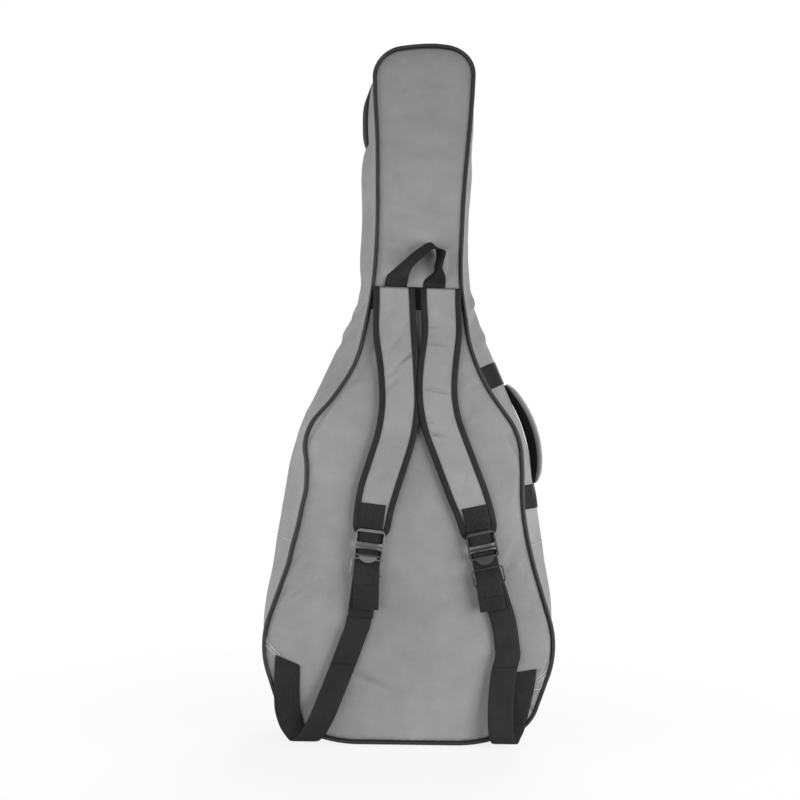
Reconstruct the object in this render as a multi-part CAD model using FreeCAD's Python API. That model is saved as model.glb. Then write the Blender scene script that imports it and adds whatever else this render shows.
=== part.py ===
import FreeCAD, Part
import math
import os

# Padded gig bag for an acoustic guitar, standing on its base.
# X runs across the bag, Y from the back panel with its shoulder straps (-Y) to the front panel, Z up.
# The origin is the middle of the flat base. Lengths are in millimetres, angles in degrees.

vec = FreeCAD.Vector
x_axis, y_axis, z_axis = vec(1, 0, 0), vec(0, 1, 0), vec(0, 0, 1)
origin = vec(0, 0, 0)

# Outline of the back seam: half width, height and rounding of each corner, from the head to the base.
crown_height = 1068.0
crown_rounding = 300.0
head_half = 75.0
head_height = 1061.0
head_rounding = 44.0
neck_half = 63.0
neck_foot_height = 603.0
neck_rounding = 412.0
upper_bout_half = 162.0
upper_bout_height = 464.0
upper_bout_rounding = 92.0
waist_half = 161.0
waist_height = 337.0
waist_rounding = 310.0
lower_bout_half = 224.6
lower_bout_height = 145.0
lower_bout_rounding = 130.0
base_corner_half = 182.0
base_corner_height = 23.0
base_corner_rounding = 60.0
base_half = 100.0
base_rounding = 200.0

# How far the side gusset swells past the back seam at the same corners, and where it is widest.
head_swell = 9.0
crown_swell = 4.0
neck_swell = 9.0
neck_swell_rise = 87.0
upper_bout_swell = 20.0
upper_bout_swell_rounding = 300.0
waist_swell = 35.0
lower_bout_swell = 1.5
widest_share = 0.5
front_seam_swell_share = 0.35

# Depth of the bag between its seams, and how far the front leans in towards the head.
body_depth = 130.0
head_depth = 97.0

# Cloth, foam and webbing.
cover_thickness = 1.2
lining_thickness = 0.8
gusset_foam = 8.0
panel_foam = 10.0
piping_radius = 2.8
seam_clearance = 0.1
layer_clearance = 0.2
webbing_width = 38.0
webbing_thickness = 1.6

# Main zipper round the upper bag, and the fold across the front panel where it ends.
fold_height = 300.0
fold_gap = 0.3
piping_fold_gap = 5.0
zipper_share = 0.74
tape_width = 9.0
tape_thickness = 1.0
tape_tuck = 0.2
coil_width = 2.6
coil_height = 1.3
coil_gap = 0.1
chain_gap = 1.3

# Zipper sliders and their pulls.
slider_length = 15.0
slider_width = 11.0
slider_plate = 1.4
slider_clearance = 1.0
slider_web = 0.9
bail_length = 12.0
bail_width = 2.2
bail_room = 2.6
bail_thickness = 1.2
pull_length = 20.0
pull_width = 9.0
pull_thickness = 1.4
pull_bar = 1.6
pull_slot_length = 8.0
pull_slot_width = 4.0
bail_leg = 1.4
slider_tail_share = 0.76
web_end_gap = 1.5
upper_slider_height = 888.0
lower_slider_height = 856.0

# Front pocket on the lower bout.
pocket_top = 272.0
pocket_top_half = 120.0
pocket_bottom = 46.0
pocket_bottom_half = 150.0
pocket_rounding = 42.0
pocket_depth = 26.0
pocket_cloth = 1.2
pocket_fold = 112.0
pocket_zipper_depth = 15.0
pocket_tape_width = 5.0
pocket_slider_place = 62.0

# Shoulder straps: points of each centre line below the top seam, with roundings, and the pads.
strap_top = 686.0
strap_width = 63.0
strap_foam = 8.0
strap_cloth = 0.9
strap_binding_width = 9.0
strap_binding_thickness = 0.9
strap_end_rounding = 20.0
strap_lift = 0.4
strap_spacing = 0.6
strap_swing = 35.0
strap_gap = 0.3
strap_lines = {
    "left": [(-36.0, 0.0, 1.0), (-20.0, -201.0, 260.0), (-57.0, -324.0, 300.0), (-62.5, -378.0, 1.0)],
    "right": [(35.0, 0.0, 1.0), (31.5, -186.0, 210.0), (95.0, -343.0, 220.0), (103.0, -378.0, 1.0)],
}
anchor_band_height = 34.0
patch_length = 38.0

# Ladder-lock buckle. Its rims lie in front of the webbing and its two loop bars behind the rims.
buckle_rise = 9.0
buckle_forward = 4.0
buckle_width = 46.0
buckle_slot = 39.5
buckle_front = -6.4
buckle_rim = 1.8
buckle_back = 2.2
rim_height = 4.2
buckle_length = 40.0
buckle_rounding = 9.0
loop_bar_drop = 15.0
middle_bar_drop = 23.0
lock_bar_drop = 31.0
bar_height = 3.2
bar_thickness = 2.0
middle_bar_height = 4.6
rib_height = 0.7
tab_width = 28.0
tab_length = 12.0
tab_lift = 16.0
threading_clearance = 0.25

# Keeper ring below the buckle, and the webbing ends.
keeper_width = 49.0
keeper_height = 27.0
keeper_wire = 2.4
keeper_rounding = 6.0
keeper_drop = {"left": 41.0, "right": 52.0}
tail_end = {"left": 80.0, "right": 96.0}
hem_end = 117.0
keeper_loop_end = 104.0
load_end = 116.0

# Hang loop at the top seam: centre points from its left root to its right root, and the webbing's
# direction across at each.
hang_loop_points = [
    (vec(-33, -1.2, 0), vec(1, 0, 0)),
    (vec(-34, -1.4, 9), vec(1, 0, 0)),
    (vec(-32, -8, 21), vec(0.95, -0.3, 0)),
    (vec(-24, -18.5, 33), vec(0.7, -0.7, 0)),
    (vec(-8, -21, 48), vec(0.35, -0.93, 0)),
    (vec(10, -20.5, 59), vec(0.1, -1, 0)),
    (vec(24, -20.5, 58), vec(-0.05, -1, 0)),
    (vec(31, -20, 47), vec(0.05, -1, 0)),
    (vec(31, -19, 33), vec(0.25, -0.97, 0)),
    (vec(27, -17, 20), vec(0.75, -0.65, 0)),
    (vec(23, -6.5, 11), vec(0.96, -0.25, 0)),
    (vec(22, -1.4, 4), vec(1, 0, 0)),
    (vec(22, -1.2, 0), vec(1, 0, 0)),
]
hang_loop_width = 34.0
hang_loop_rise = 2.0

# Lower webbing: points from below the buckle, round a loose loop near the floor, to the corner tab.
# Each starts at the end of the webbing that leaves the buckle.
lower_webbing_points = {
    "left": [
        vec(-83, -74, 152), vec(-97, -75.5, 112), vec(-112, -79, 76), vec(-127, -85, 46),
        vec(-138, -88.5, 27), vec(-146, -87, 14), vec(-153, -80.5, 8), vec(-159, -73.5, 14),
        vec(-167, -70.5, 30), vec(-175, -70.5, 66), vec(-179, -69.0, 92), vec(-179.5, -67.2, 108),
        vec(-180, -67.2, 126),
    ],
    "right": [
        vec(141, -74.2, 178), vec(146, -75.5, 146), vec(144, -78, 108), vec(141, -82, 70),
        vec(141, -87.5, 36), vec(144, -88, 18), vec(149, -81.5, 8), vec(154, -74, 13),
        vec(163, -70.5, 30), vec(170, -70.5, 62), vec(174, -69.0, 84), vec(176, -67.2, 97),
        vec(178, -67.2, 112),
    ],
}
lower_webbing_lead = 14.0

# Side handle on the right gusset and its two bands.
handle_band_high = 558.0
handle_band_low = 373.0
handle_band_width = 37.0
handle_band_margin = 4.0
band_clearance = 0.05
handle_rise = 15.0
handle_width = 34.0
handle_thickness = 6.0
handle_core_width = 22.0
handle_root_rise = 2.6
handle_gap = 0.5
handle_grip_inset = 16.0

# Corner tabs that carry the lower ends of the strap webbing: how far in from the widest point of the
# lower bout each corner lies, its height and its rounding.
tab_thickness = 1.2
corner_tabs = {
    "left": [(0.0, 164.0, 2.0), (56.0, 112.0, 3.0), (40.0, 70.0, 2.0), (0.0, 66.0, 2.0)],
    "right": [(0.0, 140.0, 2.0), (0.0, 46.0, 2.0), (34.0, 44.0, 2.0), (56.0, 92.0, 3.0)],
}


# --- outlines -------------------------------------------------------------------------------------


def side_directions(corners, closed=True):
    ends = corners[1:] + corners[:1] if closed else corners[1:]
    sides = []
    for (ax, az, _), (bx, bz, _) in zip(corners, ends):
        size = math.hypot(bx - ax, bz - az)
        sides.append(((bx - ax) / size, (bz - az) / size, size))
    return sides


def inset_corners(corners, inset):
    # every side of a clockwise outline moves inwards, and each rounding keeps its centre
    sides = side_directions(corners)
    moved = []
    for i, (x, z, rounding) in enumerate(corners):
        ax, az, _ = sides[i - 1]
        bx, bz, _ = sides[i]
        k = inset / (1 + ax * bx + az * bz)
        convex = ax * bz - az * bx < 0
        radius = rounding - inset if convex else rounding + inset
        moved.append((x + (az + bz) * k, z - (ax + bx) * k, max(radius, 0.3)))
    return moved


def outline(corners, inset=0.0, chords=None):
    # closed wire in the XZ plane: straight sides joined by tangent arcs, or by that many chords of each
    corners = inset_corners(corners, inset)
    sides = side_directions(corners)
    count = len(corners)
    turns, reach = [], []
    for i, (_, _, rounding) in enumerate(corners):
        ax, az, _ = sides[i - 1]
        bx, bz, _ = sides[i]
        turns.append(math.acos(max(-1.0, min(1.0, ax * bx + az * bz))))
        reach.append(rounding * math.tan(turns[i] / 2))
    fit = [min(1.0, 0.98 * sides[i][2] / (reach[i] + reach[(i + 1) % count])) for i in range(count)]
    reach = [reach[i] * min(fit[i], fit[i - 1]) for i in range(count)]
    ends = []
    for i, (x, z, _) in enumerate(corners):
        ax, az, _ = sides[i - 1]
        bx, bz, _ = sides[i]
        radius = reach[i] / math.tan(turns[i] / 2)
        sag = radius * (1 / math.cos(turns[i] / 2) - 1)
        mx, mz = bx - ax, bz - az
        size = math.hypot(mx, mz)
        ends.append((
            vec(x - ax * reach[i], 0, z - az * reach[i]),
            vec(x + mx / size * sag, 0, z + mz / size * sag),
            vec(x + bx * reach[i], 0, z + bz * reach[i]),
        ))
    if chords:
        points = []
        for bend, chord_count in zip(ends, chords):
            points += Part.Arc(*bend).toShape().discretize(chord_count + 1)
        return Part.makePolygon(points + points[:1])
    edges = []
    for i, (start, middle, end) in enumerate(ends):
        edges.append(Part.Arc(start, middle, end).toShape())
        edges.append(Part.LineSegment(end, ends[(i + 1) % count][0]).toShape())
    return Part.Wire(edges)


def mirrored(half):
    # the whole clockwise outline from its right half, whose first corner is on the centre line
    return half + [(-x, z, rounding) for x, z, rounding in reversed(half[1:])]


def band_corners(points, width, start_rounding=0.5, end_rounding=0.5):
    # outline of a band of even width whose centre line turns at the points
    sides = side_directions(points, closed=False)
    left, right = [], []
    for i, (x, z, rounding) in enumerate(points):
        ax, az, _ = sides[max(i - 1, 0)]
        bx, bz, _ = sides[min(i, len(sides) - 1)]
        k = width / 2 / (1 + ax * bx + az * bz)
        bend = ax * bz - az * bx
        grow = width / 2 if bend < 0 else -width / 2
        ends = {0: start_rounding, len(points) - 1: end_rounding}
        outer = ends.get(i, max(rounding + grow, 0.3))
        inner = ends.get(i, max(rounding - grow, 0.3))
        left.append((x - (az + bz) * k, z + (ax + bx) * k, outer))
        right.append((x + (az + bz) * k, z - (ax + bx) * k, inner))
    return left + right[::-1]


def plate(corners, inset, near, far, chords=None):
    face = Part.Face(outline(corners, inset, chords))
    face.translate(vec(0, near, 0))
    return face.extrude(vec(0, far - near, 0))


def rounded_box(half_x, low_z, high_z, rounding):
    return [
        (half_x, high_z, rounding),
        (half_x, low_z, rounding),
        (-half_x, low_z, rounding),
        (-half_x, high_z, rounding),
    ]


def block(low, high):
    size = high - low
    return Part.makeBox(size.x, size.y, size.z, low)


def flat_faces(rings, returning=False):
    # pairs of triangles between each ring of points and the next, split along the same diagonal
    # whichever way the rings are run through
    faces = []
    for first, second in zip(rings, rings[1:]):
        for k in range(len(first)):
            a, b, c, d = first[k - 1], first[k], second[k], second[k - 1]
            halves = ([a, b, d], [b, c, d]) if returning else ([a, b, c], [a, c, d])
            for corners in halves:
                faces.append(Part.Face(Part.makePolygon(corners + corners[:1])))
    return faces


def solid_from(faces):
    shell = Part.makeShell(faces)
    shell.sewShape()
    solid = Part.makeSolid(shell)
    return solid if solid.Volume > 0 else solid.reversed()


def hoop(outer_wires, inner_wires):
    # solid ring between an outer and an inner wall, each drawn by its wires in turn
    outer = [[vertex.Point for vertex in wire.OrderedVertexes] for wire in outer_wires]
    inner = [[vertex.Point for vertex in wire.OrderedVertexes] for wire in inner_wires]
    edges = flat_faces([outer[-1], inner[-1]]) + flat_faces([inner[0], outer[0]])
    return solid_from(flat_faces(outer) + flat_faces(inner[::-1], True) + edges)


def ribbon(stations, width, thickness):
    # webbing through stations, each a centre point and the direction of a straight line across it
    rings = []
    for i, (centre, side) in enumerate(stations):
        before, after = stations[max(i - 1, 0)][0], stations[min(i + 1, len(stations) - 1)][0]
        across = (after - before).normalize().cross(side.normalize())
        a = side * (width / 2 / across.Length)
        b = across.normalize() * (thickness / 2)
        rings.append([centre + a + b, centre - a + b, centre - a - b, centre + a - b])
    ends = [Part.Face(Part.makePolygon(ring + ring[:1])) for ring in (rings[0], rings[-1])]
    return solid_from(ends + flat_faces(rings))


# --- the bag's shape ------------------------------------------------------------------------------

back_half = [
    (0.0, crown_height, crown_rounding),
    (head_half, head_height, head_rounding),
    (neck_half, neck_foot_height, neck_rounding),
    (upper_bout_half, upper_bout_height, upper_bout_rounding),
    (waist_half, waist_height, waist_rounding),
    (lower_bout_half, lower_bout_height, lower_bout_rounding),
    (base_corner_half, base_corner_height + piping_radius, base_corner_rounding),
    (base_half, piping_radius, base_rounding),
]
# The widest outline sinks a little below the floor, so that trimming it leaves a flat base.
base_sink = 0.6
wide_half = [
    (0.0, crown_height + crown_swell, crown_rounding),
    (head_half + head_swell, head_height + crown_swell, head_rounding),
    (neck_half + neck_swell, neck_foot_height + neck_swell_rise, neck_rounding),
    (upper_bout_half + upper_bout_swell, upper_bout_height, upper_bout_swell_rounding),
    (waist_half + waist_swell, waist_height, waist_rounding),
    (lower_bout_half + lower_bout_swell, lower_bout_height, lower_bout_rounding),
    (base_corner_half, base_corner_height, base_corner_rounding),
    (base_half, -base_sink, base_rounding),
]


def between(first, second, share):
    return [tuple(a + (b - a) * share for a, b in zip(p, q)) for p, q in zip(first, second)]


# The front seam swells like the gusset beside it, but stands on the floor like the back seam.
bouts = len(back_half) - 2
half_chords = [2, 5, 7, 4, 3, 5, 4, 2]
bag_chords = half_chords + half_chords[:0:-1]
front_half = between(back_half[:bouts], wide_half[:bouts], front_seam_swell_share) + back_half[bouts:]
back_corners, wide_corners, front_corners = mirrored(back_half), mirrored(wide_half), mirrored(front_half)
lean = math.degrees(math.atan((body_depth - head_depth) / crown_height))
back_face = -body_depth / 2
seam_back = back_face + cover_thickness
seam_span = body_depth - 2 * cover_thickness
seam_tuck = piping_radius + seam_clearance
inner_side = seam_tuck + cover_thickness + gusset_foam + lining_thickness + layer_clearance


def tuck(share):
    if share < widest_share:
        return seam_tuck * (1 - share / widest_share)
    return seam_tuck * (share - widest_share) / (1 - widest_share)


def corners_at(share):
    if share < widest_share:
        return between(back_corners, wide_corners, share / widest_share)
    return between(wide_corners, front_corners, (share - widest_share) / (1 - widest_share))


def at_depth(shape, share):
    # a flat shape in the XZ plane, moved to the leaning plane at this share of the depth
    shape.rotate(origin, x_axis, share * lean)
    shape.translate(vec(0, seam_back + share * seam_span, 0))
    return shape


def bag_outline(corners, inset):
    return outline(corners, inset, bag_chords)


def panel(corners, inset, near, far):
    return plate(corners, inset, near, far, bag_chords)


def piping(corners):
    # six-sided bead on the outline, centred at y = 0
    half, high = piping_radius / 2, piping_radius * math.sqrt(3) / 2
    walls = []
    for hand in (-1, 1):
        wires = []
        for y, inset in ((-high, half), (0, piping_radius), (high, half)):
            wire = bag_outline(corners, hand * inset)
            wire.translate(vec(0, y, 0))
            wires.append(wire)
        walls.append(wires)
    return hoop(*walls)


def at_front(shape):
    # a shape drawn on the front panel, whose outer face is local y = 0
    shape.translate(vec(0, cover_thickness, 0))
    return at_depth(shape, 1.0)


def wall(shares, outer_inset, inner_inset):
    outer = [at_depth(bag_outline(corners_at(s), tuck(s) + outer_inset), s) for s in shares]
    inner = [at_depth(bag_outline(corners_at(s), tuck(s) + inner_inset), s) for s in shares]
    return hoop(outer, inner)


far = 2 * crown_height
above_fold = block(vec(-far, -far, fold_height + fold_gap / 2), vec(far, far, far))
below_fold = block(vec(-far, -far, 0), vec(far, far, fold_height - fold_gap / 2))
floor_up = block(vec(-far, -far, 0), vec(far, far, far))
parts = {}

# --- back panel -----------------------------------------------------------------------------------

parts["back_panel_cover"] = panel(back_corners, seam_tuck, back_face, seam_back)
foam_face = seam_back + panel_foam
parts["back_panel_foam"] = panel(back_corners, inner_side, seam_back, foam_face)
parts["back_panel_lining"] = panel(back_corners, inner_side, foam_face, foam_face + lining_thickness)
back_piping = piping(back_corners)
back_piping.translate(vec(0, back_face - seam_clearance, 0))
parts["back_piping"] = back_piping

# --- gusset: one plain piece round the base, two strips with the zipper between them above it ------

share_per_mm = 1 / seam_span
tape_share = tape_width * share_per_mm
gap_share = chain_gap / 2 * share_per_mm
coil_share = coil_width * share_per_mm
full_shares = [0.0, widest_share, 1.0]
back_shares = [0.0, widest_share, zipper_share - tape_share]
front_shares = [zipper_share + tape_share, 1.0]
layers = [("cover", 0.0, cover_thickness)]
layers.append(("foam", cover_thickness, cover_thickness + gusset_foam))
layers.append(("lining", cover_thickness + gusset_foam, cover_thickness + gusset_foam + lining_thickness))
for layer, outer_inset, inner_inset in layers:
    parts["bottom_gusset_" + layer] = wall(full_shares, outer_inset, inner_inset).common(below_fold)
    parts["back_strip_" + layer] = wall(back_shares, outer_inset, inner_inset).common(above_fold)
    parts["front_strip_" + layer] = wall(front_shares, outer_inset, inner_inset).common(above_fold)

tape_back = [zipper_share - tape_share, zipper_share - gap_share]
tape_front = [zipper_share + gap_share, zipper_share + tape_share]
coil_back = [zipper_share - gap_share - coil_share, zipper_share - gap_share]
coil_front = [zipper_share + gap_share, zipper_share + gap_share + coil_share]
for side, tape, coil in (("back", tape_back, coil_back), ("front", tape_front, coil_front)):
    cloth = wall(tape, tape_tuck, tape_tuck + tape_thickness)
    teeth = wall(coil, tape_tuck - coil_height, tape_tuck - coil_gap)
    parts["zipper_tape_" + side] = cloth.common(above_fold)
    parts["zipper_coil_" + side] = teeth.common(above_fold)

# --- front panel, folding at the zipper's ends ----------------------------------------------------

front_layers = [("cover", seam_tuck, 0.0, cover_thickness)]
front_layers.append(("foam", inner_side, cover_thickness, cover_thickness + panel_foam))
front_layers.append(("lining", inner_side, cover_thickness + panel_foam,
                     cover_thickness + panel_foam + lining_thickness))
for layer, inset, near, deep in front_layers:
    sheet = at_front(panel(front_corners, inset, -deep, -near))
    parts["front_lower_" + layer] = sheet.common(below_fold)
    parts["lid_" + layer] = sheet.common(above_fold)
front_piping = at_front(piping(front_corners))
front_piping.translate(vec(0, seam_clearance, 0))
piping_low = block(vec(-far, -far, -far), vec(far, far, fold_height - piping_fold_gap))
piping_high = block(vec(-far, -far, fold_height + piping_fold_gap), vec(far, far, far))
parts["front_lower_piping"] = front_piping.common(piping_low)
parts["lid_piping"] = front_piping.common(piping_high)


# --- front pocket: a fixed lower part, and a flap that folds down at the ends of its zipper --------

pocket_corners = [
    (pocket_top_half, pocket_top, pocket_rounding),
    (pocket_bottom_half, pocket_bottom, pocket_rounding),
    (-pocket_bottom_half, pocket_bottom, pocket_rounding),
    (-pocket_top_half, pocket_top, pocket_rounding),
]
pocket_face = pocket_depth - pocket_cloth
pocket_tape_back = pocket_zipper_depth - pocket_tape_width
pocket_tape_front = pocket_zipper_depth + pocket_tape_width
half_chain = chain_gap / 2
pocket_low = block(vec(-far, -far, 0), vec(far, far, pocket_fold - fold_gap / 2))
pocket_high = block(vec(-far, -far, pocket_fold + fold_gap / 2), vec(far, far, far))


def pocket_wall(near, deep, outer_inset=0.0, inner_inset=pocket_cloth):
    return plate(pocket_corners, outer_inset, near, deep).cut(plate(pocket_corners, inner_inset, near, deep))


gusset = pocket_wall(0, pocket_tape_back)
gusset = gusset.fuse(pocket_wall(pocket_tape_back, pocket_face).common(pocket_low)).removeSplitter()
pocket_panel = plate(pocket_corners, 0, pocket_face, pocket_depth)
flap = pocket_panel.common(pocket_high)
flap = flap.fuse(pocket_wall(pocket_tape_front, pocket_face).common(pocket_high)).removeSplitter()
parts["pocket_gusset"] = at_front(gusset)
parts["pocket_lower_panel"] = at_front(pocket_panel.common(pocket_low))
parts["pocket_flap"] = at_front(flap)
chains = {
    "back": (pocket_tape_back, pocket_zipper_depth - half_chain, -1),
    "front": (pocket_zipper_depth + half_chain, pocket_tape_front, 1),
}
for side, (near, deep, hand) in chains.items():
    teeth = (deep - coil_width, deep) if hand < 0 else (near, near + coil_width)
    tape = pocket_wall(near, deep, tape_tuck, tape_tuck + tape_thickness)
    coil = pocket_wall(teeth[0], teeth[1], tape_tuck - coil_height, tape_tuck)
    parts["pocket_zipper_" + side] = at_front(tape.fuse(coil).common(pocket_high))

# --- zipper sliders and pulls ---------------------------------------------------------------------
# Drawn with the chain along Z, the cloth's outside towards X and the chain's centre at the origin.

plate_near = coil_height - tape_tuck + slider_clearance
plate_far = plate_near + slider_plate
bail_under = plate_far + bail_room
pull_axis = plate_far + (bail_under - plate_far) / 2
half_slider = slider_length / 2


def facing_x(shape):
    # a shape drawn in the XZ plane and thick along Y, turned to be thick along X
    shape.rotate(origin, z_axis, -90)
    return shape


def make_slider():
    nose, tail = slider_width / 2, slider_width / 2 * slider_tail_share
    plan = [(nose, half_slider, 3.0), (tail, -half_slider, 2.0), (-tail, -half_slider, 2.0), (-nose, half_slider, 3.0)]
    outer = facing_x(plate(plan, 0, plate_near, plate_far))
    under = tape_tuck + tape_thickness + slider_clearance
    inner = facing_x(plate(plan, 0, -under - slider_plate, -under))
    web = block(vec(-under, -slider_web / 2, 0), vec(plate_near, slider_web / 2, half_slider - web_end_gap))
    half = bail_length / 2
    arch = [(bail_under + bail_thickness, half, 1.5), (bail_under + bail_thickness, -half, 1.5),
            (plate_near, -half, 0.3), (plate_near, half, 0.3)]
    inside = half - bail_leg
    room = [(bail_under, inside, 0.6), (bail_under, -inside, 0.6), (0, -inside, 0.3), (0, inside, 0.3)]
    bail = plate(arch, 0, -bail_width / 2, bail_width / 2)
    bail = bail.cut(plate(room, 0, -bail_width, bail_width))
    above_plate = block(vec(plate_near + slider_plate / 2, -far, -far), vec(far, far, far))
    return outer.fuse([inner, web, bail.common(above_plate)]).removeSplitter()


def make_pull():
    half, bar = pull_width / 2, pull_bar / 2
    plan = [(half * 0.8, bar, 0.8), (half, -pull_length, 3.5), (-half, -pull_length, 3.5), (-half * 0.8, bar, 0.8)]
    slot = [(pull_slot_width / 2, -bar, 1.0), (pull_slot_width / 2, -bar - pull_slot_length, 1.0),
            (-pull_slot_width / 2, -bar - pull_slot_length, 1.0), (-pull_slot_width / 2, -bar, 1.0)]
    tab = plate(plan, 0, pull_axis - pull_thickness / 2, pull_axis + pull_thickness / 2)
    return facing_x(tab.cut(plate(slot, 0, 0, far)))


neck_top, neck_foot = corners_at(zipper_share)[1], corners_at(zipper_share)[2]
neck_flare = math.degrees(math.atan((neck_top[0] - neck_foot[0]) / (neck_top[1] - neck_foot[1])))


def on_neck(shape, height):
    # from the chain's own frame to the zipper on the left side of the neck
    share = (height - neck_foot[1]) / (neck_top[1] - neck_foot[1])
    half = neck_foot[0] + (neck_top[0] - neck_foot[0]) * share - tuck(zipper_share)
    shape.rotate(origin, z_axis, 180)
    shape.rotate(origin, y_axis, -neck_flare)
    shape.translate(vec(-half, 0, height))
    return at_depth(shape, zipper_share)


def on_pocket(shape):
    # from the chain's own frame to the zipper along the pocket's top edge
    shape.rotate(origin, y_axis, -90)
    shape.translate(vec(pocket_slider_place, pocket_zipper_depth, pocket_top))
    return at_front(shape)


for name, height in (("upper", upper_slider_height), ("lower", lower_slider_height)):
    parts[name + "_slider"] = on_neck(make_slider(), height)
    parts[name + "_pull"] = on_neck(make_pull(), height)
parts["pocket_slider"] = on_pocket(make_slider())
parts["pocket_pull"] = on_pocket(make_pull())

# --- shoulder straps ------------------------------------------------------------------------------

strap_half = strap_foam / 2 + strap_cloth
strap_mid = back_face - webbing_thickness - strap_lift - strap_binding_thickness - strap_half
strap_corners = {}
for side, line in strap_lines.items():
    points = [(x, strap_top + drop, rounding) for x, drop, rounding in line]
    strap_corners[side] = band_corners(points, strap_width, 2.0, strap_end_rounding)
# the right strap lies over the left one where they cross, so the left one is cut back beside it
right_strap_room = plate(strap_corners["right"], -strap_spacing, 2 * back_face, back_face)


def strap_layer(side, inset, half_thickness):
    return plate(strap_corners[side], inset, strap_mid - half_thickness, strap_mid + half_thickness)


# The sewn top ends are tapered, so that a lifted strap turns about its seam without rising past it,
# and the pads are thinner where the buckles lie over their ends.
strap_back = strap_mid + strap_half + strap_binding_thickness
seam_line = vec(0, strap_back, strap_top)
strap_taper = block(vec(-far, -far, 0), vec(far, far, far))
strap_taper.rotate(origin, x_axis, strap_swing)
strap_taper.translate(seam_line)


def strap_end(side):
    # where the buckle's top rim lies on the strap, and how far the strap turns from the vertical
    (ax, az, _), (bx, bz, _) = strap_lines[side][-2:]
    size = math.hypot(bx - ax, bz - az)
    dx, dz = (bx - ax) / size, (bz - az) / size
    rim = vec(bx - dx * buckle_rise, strap_mid - buckle_forward, strap_top + bz - dz * buckle_rise)
    return rim, -math.degrees(math.asin(dx))


def at_buckle(shape, side):
    rim, turn = strap_end(side)
    shape.rotate(origin, y_axis, turn)
    shape.translate(rim)
    return shape


for side in strap_lines:
    skin = strap_layer(side, strap_binding_thickness, strap_half)
    foam = strap_layer(side, strap_binding_thickness + strap_cloth, strap_foam / 2)
    binding = strap_layer(side, 0, strap_half + strap_binding_thickness)
    binding = binding.cut(strap_layer(side, strap_binding_width, 2 * strap_half)).cut(skin)
    pieces = {"foam": foam, "cover": skin.cut(foam), "binding": binding}
    buckle_room = block(vec(-strap_width, -far, -strap_width),
                        vec(strap_width, buckle_back + strap_gap, rim_height / 2 + strap_gap))
    gone = [strap_taper, at_buckle(buckle_room, side)] + ([right_strap_room] if side == "left" else [])
    for layer, shape in pieces.items():
        parts[side + "_strap_" + layer] = shape.cut(gone)

parts["top_anchor_band"] = panel(back_corners, seam_tuck + layer_clearance, back_face - webbing_thickness,
                                 back_face).common(block(vec(-far, -far, strap_top - anchor_band_height),
                                                         vec(far, far, strap_top)))

# --- strap hardware, drawn with the buckle's top rim at the origin and the strap running down ------


def strip(points, width=webbing_width):
    # webbing of even width whose path is drawn by (y, z) points with roundings
    shape = plate(band_corners(points, webbing_thickness), 0, -width / 2, width / 2)
    shape.rotate(origin, z_axis, 90)
    return shape


def bar_between_rails(drop, height, near, thickness):
    half = buckle_slot / 2 + 0.5
    return block(vec(-half, near, -drop - height / 2), vec(half, near + thickness, -drop + height / 2))


def make_ladder_lock():
    half_rim, half_slot = rim_height / 2, buckle_slot / 2
    low = half_rim - buckle_length
    plan = [(buckle_width / 2, half_rim, buckle_rounding), (buckle_width / 2, low, buckle_rounding / 2),
            (-buckle_width / 2, low, buckle_rounding / 2), (-buckle_width / 2, half_rim, buckle_rounding)]
    window = rounded_box(half_slot, low + rim_height * 0.7, -half_rim, 1.5)
    frame = plate(plan, 0, buckle_front, buckle_back).cut(plate(window, 0, 2 * buckle_front, far))
    # behind the rims the frame is open, so the webbing runs straight through
    channel = block(vec(-half_slot, buckle_front + buckle_rim, -far), vec(half_slot, far, far))
    frame = frame.cut(channel)
    loop_bar = bar_between_rails(loop_bar_drop, bar_height, -bar_thickness / 2, bar_thickness)
    lock_bar = bar_between_rails(lock_bar_drop, bar_height, 0, bar_thickness)
    middle = bar_between_rails(middle_bar_drop, middle_bar_height, buckle_front + 0.4, buckle_rim)
    ribs = []
    for step in (-1, 0, 1):
        rib = Part.makeCylinder(rib_height, buckle_slot, vec(-half_slot, buckle_front + 0.5, 0), x_axis)
        rib.translate(vec(0, 0, step * middle_bar_height / 3 - middle_bar_drop))
        ribs.append(rib)
    # half-moon lift tab below the bottom rim, bent outwards
    radius = ((tab_width / 2) ** 2 + tab_length ** 2) / (2 * tab_length)
    tab = Part.makeCylinder(radius, buckle_rim, vec(0, buckle_front, low - tab_length + radius), y_axis)
    tab = tab.common(block(vec(-far, -far, -far), vec(far, far, low + 1.0)))
    tab.rotate(vec(0, buckle_front, low + 1.0), x_axis, -tab_lift)
    return frame.fuse([loop_bar, lock_bar, middle, tab] + ribs).removeSplitter()


webbing_half = webbing_thickness / 2
wrap = threading_clearance + webbing_half
loop_front = -bar_thickness / 2 - wrap
lock_front = -wrap
lock_behind = bar_thickness + wrap
keeper_near = lock_front - webbing_half - threading_clearance - keeper_wire
keeper_front = keeper_near - wrap
keeper_back = keeper_near + keeper_wire + wrap
tail_front = keeper_front - webbing_thickness - 0.1


def make_keeper(side):
    top = -keeper_drop[side]
    plan = rounded_box(keeper_width / 2, top - keeper_height, top, keeper_rounding)
    ring = plate(plan, 0, keeper_near, keeper_near + keeper_wire)
    return ring.cut(plate(plan, keeper_wire, -far, far))


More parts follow.
